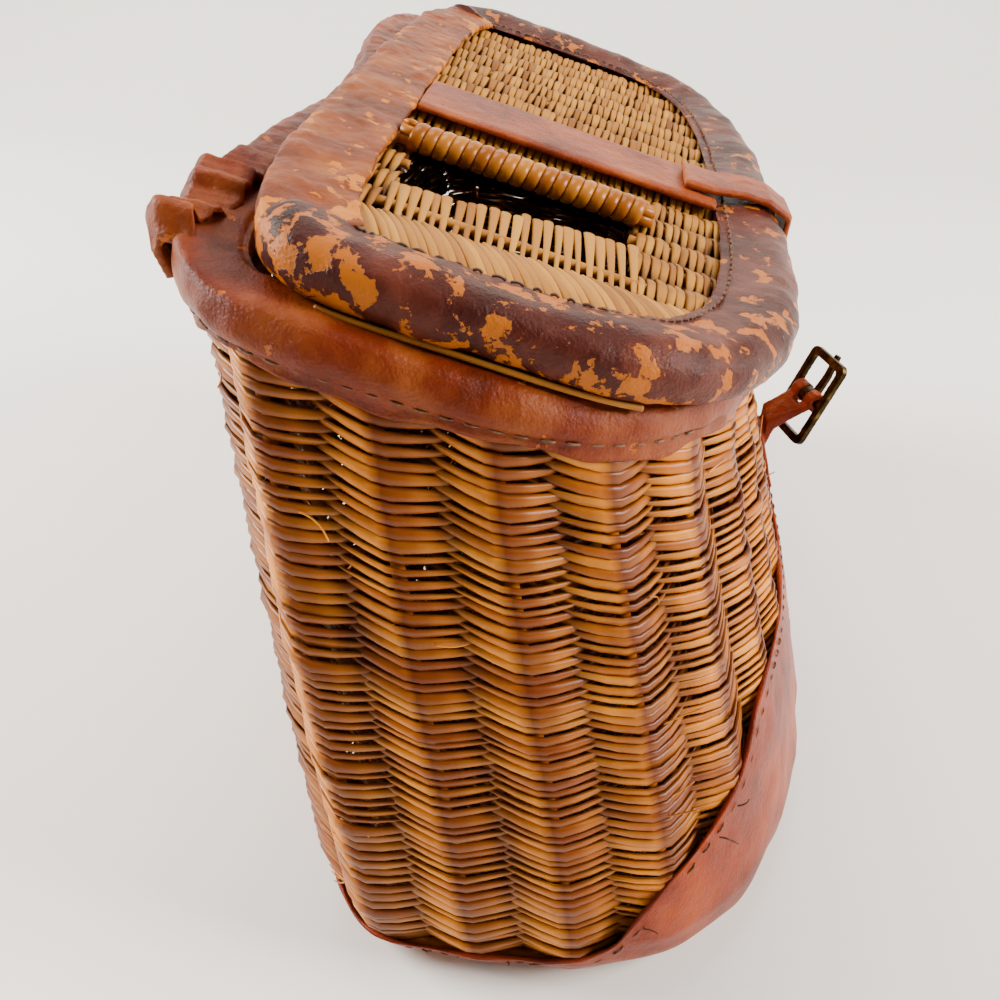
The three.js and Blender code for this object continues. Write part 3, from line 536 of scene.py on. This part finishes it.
# %% [markdown]
# A foot of three stout rods is wound round the base, to take the wear where the creel stands.

# %% Thick rods round the foot
foot_rods = [wall(np.arange(361) / 360, foot_level, foot_out)
             for foot_level, foot_out in ((0.012, -0.5), (0.02, 1.6), (0.034, 2.6))]
foot_way = np.array([wall(np.arange(361) / 360, 0.02, 9.0) - foot_rods[1]] * 3)
points, faces = tube_mesh(foot_rods, 2.2, 2.0, foot_way)
make_piece("foot_rods", points, faces, "basket", BODY_WILLOW, ["basket_body"],
           values=even_values(points, 1.5, 0.2, 0.6))

# %% [markdown]
# The base is plain weave: thick sticks along the creel, and finer weavers over and under them.

# %% Woven base
BASE_STICKS = 13
WEAVER_PITCH = 4.1
WEAVER_STEPS = 54
WEAVER_SWING = 1.9
base_outline = np.array(wall(np.arange(360) / 360, 0.012, -3.0))[:, :2]


def base_span(axis, at):
    """Where a line across the base meets its outline."""
    other = 1 - axis
    a, b = base_outline, np.roll(base_outline, -1, 0)
    crossing = (a[:, axis] - at) * (b[:, axis] - at) < 0
    share = (at - a[crossing, axis]) / (b[crossing, axis] - a[crossing, axis])
    hits = a[crossing, other] + share * (b[crossing, other] - a[crossing, other])
    return hits.min(), hits.max()


low_y, high_y = base_outline[:, 1].min(), base_outline[:, 1].max()
stick_y = np.linspace(low_y + 5, high_y - 18, BASE_STICKS)
BASE_HEIGHT = 3.6
sticks = [np.stack([np.linspace(*base_span(1, y), 20), np.full(20, y), np.full(20, BASE_HEIGHT)], 1)
          for y in stick_y]
points, faces = tube_mesh(sticks, 2.0, 1.3, (0, 0, 1), 6)
make_piece("base_sticks", points, faces, "basket", BODY_WILLOW, ["basket_body"],
           values=even_values(points, 2.0, 0.2, 0.6))
weavers = []
stick_pitch = stick_y[1] - stick_y[0]
for n, x in enumerate(np.arange(-160, 160.1, WEAVER_PITCH)):
    y = np.linspace(*base_span(0, x), WEAVER_STEPS)
    z = BASE_HEIGHT + WEAVER_SWING * np.cos(np.pi * ((y - stick_y[0]) / stick_pitch + n))
    weavers.append(np.stack([np.full(WEAVER_STEPS, x), y, z], 1))
points, faces = tube_mesh(weavers, 2.0, 0.7, (0, 0, 1), 6)
make_piece("base_weavers", points, faces, "basket", BODY_WILLOW, ["basket_body"],
           values=even_values(points, 3.0))

# %% [markdown]
# The lid is woven the same way, but its stakes run from back to front. The rods at the fish
# hole are cut off square and stand like a fence along its near edge.

# %% Form of the lid
LID_HALF_LENGTH = 154.0
LID_DEPTH = 150.0
LID_FRONT_ROUNDNESS = 3.4
PANEL_INSET = 12.0
HOLE_X = (-90.0, -53.0)
HOLE_V = (30.0, 98.0)
HOLE_SLANT = 0.17
LID_STAKE_PITCH = 16.0
FIRST_LID_STAKE = -99.0
WALE_V = (22.0, 132.0)
LID_ROW_PITCH = 2.6
LID_ROWS = 52
LID_STAKES = np.arange(-2, 15)
LID_RING, LID_OUT = outline(LID_HALF_LENGTH, 0.0, -LID_DEPTH, 0.0, 720, LID_FRONT_ROUNDNESS)


def lid(x, v, up):
    """Place on the lid: x along it, v down its slope from the hinge, up from its middle plane."""
    c, s = math.cos(LID_TILT), math.sin(LID_TILT)
    x, v, up = np.broadcast_arrays(x, v, up)
    return np.stack([x, HINGE_PLACE[1] - v * c - up * s, HINGE_PLACE[2] - v * s + up * c], -1)


panel_edge = LID_RING - LID_OUT * PANEL_INSET
right = panel_edge[: 360][panel_edge[:360, 0] > 0]
order = np.argsort(-right[:, 1])


def panel_half_width(v):
    return np.interp(v, -right[order, 1], right[order, 0], left=right[order[0], 0], right=0.0)


# %% [markdown]
# The lid's strands are shorter and drier than the wall's. Those beside the hole are held back to
# its edges, and the fence and the border take the place of the others at the near end.

# %% Lid weave
def lid_place(u, row, out, up):
    x = FIRST_LID_STAKE + u * LID_STAKE_PITCH
    v = np.broadcast_to(row, x.shape) - up
    limit = panel_half_width(v)
    x = np.clip(x, -limit, limit)
    beside = (v > HOLE_V[0]) & (v < HOLE_V[1])
    middle = x[:, len(STATIONS) // 2: len(STATIONS) // 2 + 1]
    near_edge = HOLE_X[0] + HOLE_SLANT * (v - HOLE_V[0])
    left = beside & (middle < HOLE_X[0])
    far = beside & (middle > HOLE_X[1])
    x = np.where(left, np.minimum(x, near_edge), x)
    x = np.where(far, np.maximum(x, HOLE_X[1]), x)
    return lid(x, v, out)


lid_columns, lid_rows = np.meshgrid(LID_STAKES, np.arange(LID_ROWS), indexing="ij")
lid_columns, lid_rows = lid_columns.ravel(), lid_rows.ravel()
row_v = 12 + LID_ROW_PITCH * (lid_rows + 0.5 * (lid_columns % 2))
stake_x = FIRST_LID_STAKE + LID_STAKE_PITCH * lid_columns
inside = np.abs(stake_x) < panel_half_width(row_v) + 2
in_hole = (stake_x > HOLE_X[0]) & (stake_x < HOLE_X[1])
in_hole &= (row_v > HOLE_V[0] - 1) & (row_v < HOLE_V[1] + 1)
fence_zone = (lid_columns == 0) & (row_v > HOLE_V[0]) & (row_v < HOLE_V[1])
wale_zone = (lid_columns < 0) & (row_v > WALE_V[0]) & (row_v < WALE_V[1])
keep = inside & ~in_hole & ~fence_zone & ~wale_zone
points, faces, values = strand_mesh(lid_place, lid_columns[keep].astype(float), row_v[keep],
                                    LID_ROW_PITCH, 2.4, 0.75, 23, loose=1.2)
make_piece("lid_weave", points, faces, "lid", LID_WILLOW, ["lid_panel"], values=values)

# %% [markdown]
# The lid's stakes are cut where the fish hole is.

# %% Lid stakes
lid_stakes = []
for x in FIRST_LID_STAKE + LID_STAKE_PITCH * LID_STAKES:
    fits = np.linspace(8, 138, 131)
    fits = fits[panel_half_width(fits) > abs(x)]
    runs = [(fits[0], fits[-1])]
    if HOLE_X[0] < x < HOLE_X[1]:
        runs = [(fits[0], HOLE_V[0] + 1), (HOLE_V[1] - 1, fits[-1])]
    for a, b in runs:
        lid_stakes.append(lid(x, np.linspace(a, b, 24), 0.1))
lid_up = lid(0, 0, 1) - lid(0, 0, 0)
points, faces = tube_mesh(lid_stakes, 1.8, 1.3, lid_up)
make_piece("lid_stakes", points, faces, "lid", LID_WILLOW, ["lid_panel"],
           values=even_values(points, 4.0, 0.3, 0.7))

# %% [markdown]
# The fence is a row of short rods with square cut ends. Each leans a little, as cut by eye.

# %% Fence of cut rods along the near edge of the hole
FENCE_PITCH = 3.0
FENCE_STEPS = 9
ROD_SIDES = 8
fence, fence_width = [], []
for v in np.arange(HOLE_V[0] + 1.0, HOLE_V[1], FENCE_PITCH):
    s = np.linspace(0, 1, FENCE_STEPS)
    lean = rng.normal(0, 0.6)
    top = HOLE_X[0] + HOLE_SLANT * (v - HOLE_V[0]) + 1.0 + rng.normal(0, 0.7)
    x = top + (FIRST_LID_STAKE - 11 - top) * s
    fence.append(lid(x, v + lean * (1 - s) + 1.5 * s, 1.9 - 2.6 * s ** 2 + rng.normal(0, 0.2)))
    fence_width.append((1.62 - 1.1 * s) * (1 + rng.normal(0, 0.12)))
points, faces = tube_mesh(fence, np.array(fence_width), 0.6, lid_up, ROD_SIDES)
tones = np.repeat(np.clip(rng.normal(0.7, 0.2, len(fence)), 0, 1), FENCE_STEPS * ROD_SIDES)
make_piece("hole_fence", points, faces, "lid", LID_WILLOW, ["lid_panel"],
           values=flat_values(tones))

# %% [markdown]
# Between the fence and the roll the rods are twined, so they slant and swell like a rope.

# %% Slanting border of twined rods
BORDER_PITCH = 2.35
BORDER_STEPS = 11
BORDER_SLANT = 11  # mm down the lid over each rod
wale, wale_width, wale_tone = [], [], []
for v in np.arange(WALE_V[0] - 6, WALE_V[1] - 4, BORDER_PITCH):
    s = np.linspace(0, 1, BORDER_STEPS)
    x = -105.5 - 25 * s + rng.normal(0, 0.5)
    limit = panel_half_width(v + BORDER_SLANT * s)
    run = v + BORDER_SLANT * s + rng.normal(0, 0.3)
    wale.append(lid(np.maximum(x, -limit), run, 2.4 * np.sin(np.pi * (0.06 + 0.88 * s)) - 0.3))
    wale_width.append(1.5 * np.sin(np.pi * (0.1 + 0.8 * s)) ** 0.5)
    wale_tone.append(rng.normal(0.62, 0.2))
points, faces = tube_mesh(wale, np.array(wale_width), 0.7, lid_up, ROD_SIDES)
make_piece("lid_wale", points, faces, "lid", LID_WILLOW, ["lid_panel"],
           values=flat_values(np.repeat(np.clip(wale_tone, 0, 1), BORDER_STEPS * ROD_SIDES)))

# %% [markdown]
# A bundle of rods stiffens the far side of the hole. One long split rod is wound round it, wet
# and tight, and its varnish is the thickest on the creel.

# %% Wrapped bar
BAR_X, BAR_HALF_WIDTH, BAR_HALF_HEIGHT = -55.0, 4.6, 3.4
WRAPS = 18
BAR_START_V, BAR_WOUND_LENGTH, BAR_HEIGHT = 27, 71, 4.4
turn = np.linspace(0, WRAPS, WRAPS * 24)
angle = 2 * np.pi * turn
bar_v = BAR_START_V + turn * (BAR_WOUND_LENGTH / WRAPS)
wrap_path = lid(BAR_X + BAR_HALF_WIDTH * np.sin(angle), bar_v, BAR_HEIGHT + BAR_HALF_HEIGHT * np.cos(angle))
core_path = lid(np.full(len(turn), BAR_X), bar_v, BAR_HEIGHT)
points, faces = tube_mesh([wrap_path], 2.0, 0.85, [wrap_path - core_path], ROD_SIDES)
wrap_tone = np.repeat(0.55 + 0.3 * np.sin(turn * 5.1), ROD_SIDES)
make_piece("bar_wrapping", points, faces, "lid", AMBER_WILLOW, ["hole_bar"],
           values=flat_values(wrap_tone))
bundle = [lid(BAR_X + 2.2 * dx, np.linspace(25, 103, 20), BAR_HEIGHT + 1.6 * dz)
          for dx, dz in ((-1, -0.6), (0, -0.9), (1, -0.6), (-0.6, 0.8), (0.6, 0.8))]
points, faces = tube_mesh(bundle, 1.7, 1.7, lid_up)
make_piece("bar_bundle", points, faces, "lid", AMBER_WILLOW, ["hole_bar"],
           values=even_values(points, 5.0))

# %% [markdown]
# The leather is sewn with waxed thread. A stitch is a short arch that dives at both ends.

# %% Stitch builder
def stitch_mesh(places, radius):
    """Short stitches that dive at both ends; places are pairs of points and outward ways."""
    paths, ways = [], []
    s = np.linspace(0, 1, 7)[:, None]
    for a, b, way in places:
        arch = np.sin(np.pi * s) * 1.3 * radius - 0.7 * radius
        paths.append(a + (b - a) * s + way * arch)
        ways.append(np.broadcast_to(way, (7, 3)))
    return tube_mesh(paths, radius, radius, np.array(ways), 6)


# %% [markdown]
# The roll is a thin finished leather over a soft core. It is skived, glued and turned under the
# lid's edge, so it swells between its dents and creases where the lid bends.

# %% Lid roll
ROLL_END_V = 10.0
ROLL_SIDES = 40
first_back = int(np.argmax(LID_RING[:360, 1] > -ROLL_END_V))
roll_index = np.linspace(-first_back, first_back, 420)
roll_section = smooth_loop([(0, 0), (1.5, 5.0), (7, 7.6), (14, 6.6), (22, 4.2), (24, 3.3), (16, 3.2),
                            (8.8, 3.0), (8.8, -3.0), (16, -3.3), (17.5, -5.2), (7, -7.4), (1.5, -5.0)],
                           ROLL_SIDES)
around_ring = np.arange(len(LID_RING) + 1)
ring_x, ring_y, ring_nx, ring_ny = [
    np.interp(roll_index % len(LID_RING), around_ring, np.append(table[:, k], table[0, k]))
    for table in (LID_RING, LID_OUT) for k in (0, 1)]
inset, high = roll_section[None, :, 0], roll_section[None, :, 1]
roll_x = ring_x[:, None] - ring_nx[:, None] * inset
roll_y = ring_y[:, None] - ring_ny[:, None] * inset
points = lid(roll_x, -roll_y, np.broadcast_to(high, roll_x.shape)).reshape(-1, 3)
faces = grid_faces(len(roll_index), ROLL_SIDES)
last = (len(roll_index) - 1) * ROLL_SIDES
faces += [tuple(range(ROLL_SIDES))[::-1], tuple(range(last, last + ROLL_SIDES))]
lid_roll = make_piece("roll_leather", points, faces, "lid", ROLL_LEATHER, ["lid_roll"])
rumple(lid_roll, 1.1, 26.0, 3.0)
rumple(lid_roll, 0.35, 7.0, 9.0)


def roll_wear(place):
    """The roll is rubbed most on its near long side and at its torn near-back end."""
    near = np.clip((-place[:, 0] - 80) / 60, 0, 1)
    end = np.exp(-((place[:, 0] + 138) ** 2 + (place[:, 1] - 52) ** 2) / 260)
    return 0.25 * near + 0.45 * end - 0.1


set_wear(lid_roll, roll_wear)

# %% [markdown]
# The roll's inner flange is sewn down with short stitches, close to its edge.

# %% Stitches along the roll's inner edge
seam = []
for n in np.arange(-first_back + 6, first_back - 6, 4.2):
    ends = []
    for k in (n, n + 2.4):
        i = int(round(k)) % 720
        x, y = LID_RING[i] - LID_OUT[i] * 21.5
        ends.append(lid(x, -y, 4.9))
    seam.append((ends[0], ends[1], lid_up))
points, faces = stitch_mesh(seam, 0.38)
make_piece("roll_stitches", points, faces, "lid", thread, ["lid_roll"])

# %% [markdown]
# A thin reed shows in the gap under the roll, along the near end.

# %% Reed under the roll
reed_index = np.linspace(-216, -148, 120)
reed_x = np.interp(reed_index % 720, np.arange(720), LID_RING[:, 0] - LID_OUT[:, 0] * 1.6)
reed_y = np.interp(reed_index % 720, np.arange(720), LID_RING[:, 1] - LID_OUT[:, 1] * 1.6)
reed_path = lid(reed_x, -reed_y, -7.0 + 0.4 * np.sin(reed_index / 17))
points, faces = tube_mesh([reed_path], 0.75, 0.75, lid_up)
make_piece("rim_reed", points, faces, "lid", LID_WILLOW, ["lid_roll"],
           values=even_values(points, 6.0, 0.1, 0.5))

# %% [markdown]
# The rim is wrapped in a padded band. Its lower edge is a flange that is stitched through the
# weave, so it is pulled in at every stitch and waves between them.

# %% Rim band
RIM_STEPS = 720
BAND_SIDES = 44
around = np.arange(RIM_STEPS) / RIM_STEPS
band_section = smooth_loop([(3.4, -12.4), (5.8, -12.6), (6.0, -9.6), (7.8, -7.4), (8.6, -3.6), (7.2, 0.6),
                            (4.0, 2.4), (-3.0, 2.4), (-7.6, 1.6), (-8.9, -2.0), (-8.6, -5.6), (-6.4, -5.6),
                            (-6.3, -1.0), (0.0, 0.2), (3.3, -1.5), (3.4, -7.0)], BAND_SIDES)
rim_z = np.array([wall(a, 1.0, 0.0)[2] for a in around])
wave = 1.2 * np.sin(2 * np.pi * 14 * around) + 0.5 * np.sin(2 * np.pi * 37 * around)
drop = -band_section[None, :, 1] + wave[:, None] * (band_section[None, :, 1] < -9)
band_level = np.minimum(1 - np.maximum(drop, 0) / rim_z[:, None], 1.0)
lift = np.maximum(-drop, 0)
points = wall(around[:, None], band_level, band_section[None, :, 0]) + np.stack(
    [np.zeros_like(lift), np.zeros_like(lift), lift], -1)
rim_band = make_piece("rim_band", points.reshape(-1, 3), grid_faces(RIM_STEPS, BAND_SIDES, True), "basket",
                      RIM_LEATHER, ["rim_leather"])
rumple(rim_band, 1.3, 24.0, 5.0)
rumple(rim_band, 0.3, 8.0, 1.0)

# %% [markdown]
# The rim's stitches go through the weave, evenly spaced round the flange.

# %% Stitches of the rim flange
def wall_stitches(share_pairs, levels_of, out, radius):
    places = []
    for a, b in share_pairs:
        start, end = wall(a, levels_of(a), out), wall(b, levels_of(b), out)
        way = wall(a, levels_of(a), out + 1) - start
        places.append((start, end, way / np.linalg.norm(way)))
    return stitch_mesh(places, radius)


def rim_stitch_level(a):
    return 1 - 8.9 / wall(a, 1.0, 0.0)[2]


SEAM_STITCHES = 150
pairs = [(n / SEAM_STITCHES, (n + 0.55) / SEAM_STITCHES) for n in range(SEAM_STITCHES)]
points, faces = wall_stitches(pairs, rim_stitch_level, 6.5, 0.36)
make_piece("rim_stitches", points, faces, "basket", thread, ["rim_leather"])

# %% [markdown]
# Reddish harness leather is bound round the foot and rises at the front to an apron, where the
# creel rubs against the leg. The ribs of the weave press through its lower part.

# %% Base leather
# Columns: share of the way from front middle to back middle, height as a share of BACK_HEIGHT
APRON_EDGE = np.array([(0, 0.4), (0.05, 0.385), (0.1, 0.375), (0.2, 0.385), (0.27, 0.39), (0.3, 0.37),
                       (0.335, 0.31), (0.375, 0.26), (0.4, 0.22), (0.42, 0.17), (0.44, 0.11), (0.46, 0.075),
                       (0.49, 0.058), (0.53, 0.052), (1.0, 0.05)])
APRON_ROWS = 26
APRON_STEPS = 900
APRON_FOOT = 5.6


def apron_edge(a):
    share = 2 * np.minimum(a % 1.0, 1 - a % 1.0)
    return BACK_HEIGHT * np.interp(share, APRON_EDGE[:, 0], APRON_EDGE[:, 1])


apron_around = np.arange(APRON_STEPS) / APRON_STEPS
edge_z = apron_edge(apron_around)
for _ in range(3):
    edge_z = (np.roll(edge_z, 1) + 2 * edge_z + np.roll(edge_z, -1)) / 4
edge_z = edge_z + np.array([1.3 * noise.noise(Vector((n * 0.05, 0, 0))) for n in range(APRON_STEPS)])
share = np.linspace(0, 1, APRON_ROWS)
row_z = APRON_FOOT + (edge_z[:, None] - APRON_FOOT) * share
top_z = np.array([wall(a, 1.0, 0.0)[2] for a in apron_around])
level = row_z / top_z[:, None]
ribs = np.cos(np.pi * STAKE_COUNT * apron_around[:, None]) ** 2
press = 1.3 * ribs * np.exp(-row_z / 30)
outer = wall(apron_around[:, None], level, 5.0 + press)
inner = wall(apron_around[:, None], level, 3.6 + press)
rounded = np.stack([wall(apron_around, level[:, -1], out, 0.7) for out in (5.0, 4.1)], 1)
loop = np.concatenate([outer, rounded, inner[:, ::-1]], 1)
apron = make_piece("base_apron", loop.reshape(-1, 3), grid_faces(APRON_STEPS, loop.shape[1], True), "basket",
                   BASE_LEATHER, ["base_leather"])
rumple(apron, 0.6, 24.0, 7.0)


# %% [markdown]
# A finer row of stitches follows the apron's upper edge.

# %% Stitches of the base leather
def apron_stitch_level(a):
    return (apron_edge(a) - 4.0) / wall(a, 1.0, 0.0)[2]


pairs = [(n / SEAM_STITCHES, (n + 0.5) / SEAM_STITCHES) for n in range(SEAM_STITCHES)]
points, faces = wall_stitches(pairs, apron_stitch_level, 5.1, 0.28)
make_piece("base_stitches", points, faces, "basket", thread, ["base_leather"])

# %% [markdown]
# The straps, the hinge and the back strip are single thicknesses of old leather. Each is the
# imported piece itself, evenly remeshed so that its edges are burnished round, and then creased.


# %% Creased skins
def skin(node, body, slot, material, grain, dents, seed, rounds=4):
    """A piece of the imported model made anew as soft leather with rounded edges."""
    source = frame["nodes"][node]
    mesh = source.data.copy()
    piece = bpy.data.objects.new(node + "_skin", mesh)
    bpy.context.collection.objects.link(piece)
    remesh = piece.modifiers.new("even", "REMESH")
    remesh.mode = "VOXEL"
    remesh.voxel_size = grain * MM
    soften = piece.modifiers.new("round", "SMOOTH")
    soften.iterations = rounds
    fine = bpy.data.meshes.new_from_object(piece.evaluated_get(bpy.context.evaluated_depsgraph_get()))
    piece.modifiers.clear()
    piece.data = fine
    fine.polygons.foreach_set("use_smooth", [True] * len(fine.polygons))
    fine.materials.clear()
    fine.materials.append(material)
    for amount, size in dents:
        rumple(piece, amount, size, seed)
    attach(piece, body)
    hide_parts(node)
    print(piece.name, len(fine.polygons), "faces")
    return piece


hinge_skin = skin("hinge_leather", "basket", "rim_leather", RIM_LEATHER, 0.8,
                  [(1.0, 22.0), (0.7, 7.0)], 2.0)
back_skin = skin("lid_back_strip", "lid", "back_leather", BACK_LEATHER, 0.8, [(0.9, 20.0), (0.5, 6.0)], 4.0)


def tear(piece, start_x, reach, top_z, high, depth, seed):
    """Makes the end of a skin ragged: its upper edge is torn up and down, and curls out."""
    mesh = piece.data
    co = np.empty(len(mesh.vertices) * 3)
    mesh.vertices.foreach_get("co", co)
    place = co.reshape(-1, 3) / MM
    near_end = np.clip((start_x - place[:, 0]) / reach, 0, 1)
    near_top = np.clip((place[:, 2] - top_z) / high, 0, 1)
    along = place[:, 0]
    rise = np.array([noise.fractal(Vector((x / 9, seed, 0)), 1.0, 2.0, 3) for x in along])
    curl = np.array([noise.noise(Vector((x / 12, seed, 5))) for x in along])
    place[:, 2] += near_end * near_top * (rise - 0.25) * depth
    place[:, 1] += near_end * near_top * curl * 0.5 * depth
    mesh.vertices.foreach_set("co", (place * MM).ravel())
    mesh.update()


tear(hinge_skin, -70.0, 45.0, 216.0, 12.0, 9.0, 1.7)
set_wear(hinge_skin, lambda place: 0.5 * np.clip((-place[:, 0] - 95) / 40, 0, 1) - 0.05)
lid_edge_y = HINGE_PLACE[1] - 30 * math.cos(LID_TILT)
set_wear(back_skin, lambda place: 0.55 * np.exp(-((place[:, 1] - lid_edge_y) / 7) ** 2)
         + 0.7 * np.exp(-((place[:, 0] + 140) / 14) ** 2) - 0.05)
skin("lid_strap", "lid", "strap_leather", STRAP_LEATHER, 0.7, [(0.3, 24.0), (0.15, 6.0)], 6.0)
skin("closing_strap", "lid", "strap_leather", STRAP_LEATHER, 0.5, [(0.3, 14.0), (0.15, 5.0)], 8.0)
skin("front_strap", "basket", "base_leather", BASE_LEATHER, 0.4, [(0.4, 12.0), (0.2, 4.0)], 10.0)

# %% [markdown]
# Age has left loose ends: threads that stick out of the apron's seam, and fine splits in the willow.

# %% Frayed ends of thread and splits of willow
def loose_fibres(starts, ways, length, radius, seed):
    """Thin curled fibres, each from a start along a way."""
    source = np.random.default_rng(seed)
    paths = []
    s = np.linspace(0, 1, 12)[:, None]
    for start, way in zip(starts, ways):
        bend = source.normal(0, 0.45, 3)
        reach = length * source.uniform(0.5, 1.3)
        paths.append(start + way * reach * s + bend * reach * s ** 2)
    return tube_mesh(paths, radius, radius, (0.3, 0.2, 0.9), 6)


fray_at = np.array([0.70, 0.715, 0.726, 0.744, 0.752, 0.79, 0.82, 0.83])
fray_from = np.array([wall(a, apron_stitch_level(a) * 0.98, 5.6) for a in fray_at])
fray_way = np.array([wall(a, 0.3, 7.0) - wall(a, 0.3, 6.0) for a in fray_at]) * 0.3 + (0, -0.5, 0.5)
points, faces = loose_fibres(fray_from, fray_way, 7.0, 0.28, 31)
make_piece("apron_frays", points, faces, "basket", thread, ["base_leather"])

split_rng = np.random.default_rng(5)
split_at = split_rng.uniform(0, 1, 70)
split_level = split_rng.uniform(0.1, 0.9, 70)
split_from = wall(split_at, split_level, 3.2)
bare = split_from[:, 2] > apron_edge(split_at) + 4
split_at, split_level, split_from = split_at[bare], split_level[bare], split_from[bare]
split_way = wall(split_at + 0.02, split_level, 4.4) - split_from
split_way = split_way / np.linalg.norm(split_way, axis=1)[:, None]
points, faces = loose_fibres(split_from, split_way, 9.0, 0.22, 33)
make_piece("willow_splits", points, faces, "basket", BODY_WILLOW, ["basket_body"],
           values=even_values(points, 7.0, 0.7, 1.0))

# %% [markdown]
# Buckle: cast brass, dark with age, its edges worn round. The tongue is drawn wire, forged flat
# where it lies on the frame.

# %% Buckle
skin("buckle_frame", "buckle", "aged_brass", brass, 0.3, [(0.06, 3.0)], 12.0, rounds=3)
skin("buckle_tongue", "tongue", "aged_brass", brass, 0.25, [(0.05, 3.0)], 14.0, rounds=3)

# %% [markdown]
# The photograph was lit by a broad soft light from above, in front of a plain off-white board.

# %% Floor, light and surroundings
floor_material, floor_tree, floor_shader = start_material("off_white_board", 0.9)
floor_shader.inputs["Base Color"].default_value = linear("#F2F0EC")
FLOOR_NEAR, FLOOR_FAR, FLOOR_SIDE = -1500.0, 800.0, 1800.0
SWEEP_RADIUS, SWEEP_TOP = 500.0, 1600.0
FLOOR_GAP = 0.3
bow = np.linspace(0, np.pi / 2, 16)
sweep_bow = zip(FLOOR_FAR + SWEEP_RADIUS * np.sin(bow), SWEEP_RADIUS * (1 - np.cos(bow)))
sweep = [(FLOOR_NEAR, 0.0), *sweep_bow]
sweep.append((FLOOR_FAR + SWEEP_RADIUS, SWEEP_TOP))
floor_mesh = bpy.data.meshes.new("floor")
floor_points = [(x * MM, side * FLOOR_SIDE * MM, (z - FLOOR_GAP) * MM)
                for side in (-1, 1) for x, z in sweep]
floor_faces = [(n, n + 1, n + 1 + len(sweep), n + len(sweep)) for n in range(len(sweep) - 1)]
floor_mesh.from_pydata(floor_points, [], floor_faces)
floor_mesh.polygons.foreach_set("use_smooth", [True] * len(floor_faces))
floor_mesh.materials.append(floor_material)
floor = bpy.data.objects.new("floor", floor_mesh)
bpy.context.collection.objects.link(floor)


def area_light(name, place, target, size, power, colour):
    data = bpy.data.lights.new(name, "AREA")
    data.shape = "DISK"
    data.size = size
    data.energy = power
    data.color = linear(colour)[:3]
    lamp = bpy.data.objects.new(name, data)
    lamp.location = place
    lamp.rotation_euler = (Vector(target) - Vector(place)).to_track_quat("-Z", "Y").to_euler()
    bpy.context.collection.objects.link(lamp)


area_light("sky_panel", (0.45, 0.1, 1.5), (0, 0, 0.15), 0.9, 14.0, "#FFF9F2")
area_light("left_window", (0.05, 1.3, 0.8), (0, 0, 0.1), 0.7, 54.0, "#FFF8F0")
area_light("right_window", (-0.15, -1.3, 0.8), (0, 0, 0.1), 0.7, 50.0, "#FFF8F0")
world = bpy.data.worlds.new("studio")
bpy.context.scene.world = world
world.use_nodes = True
background = world.node_tree.nodes["Background"]
background.inputs["Color"].default_value = linear("#F4F1EC")
background.inputs["Strength"].default_value = 0.32
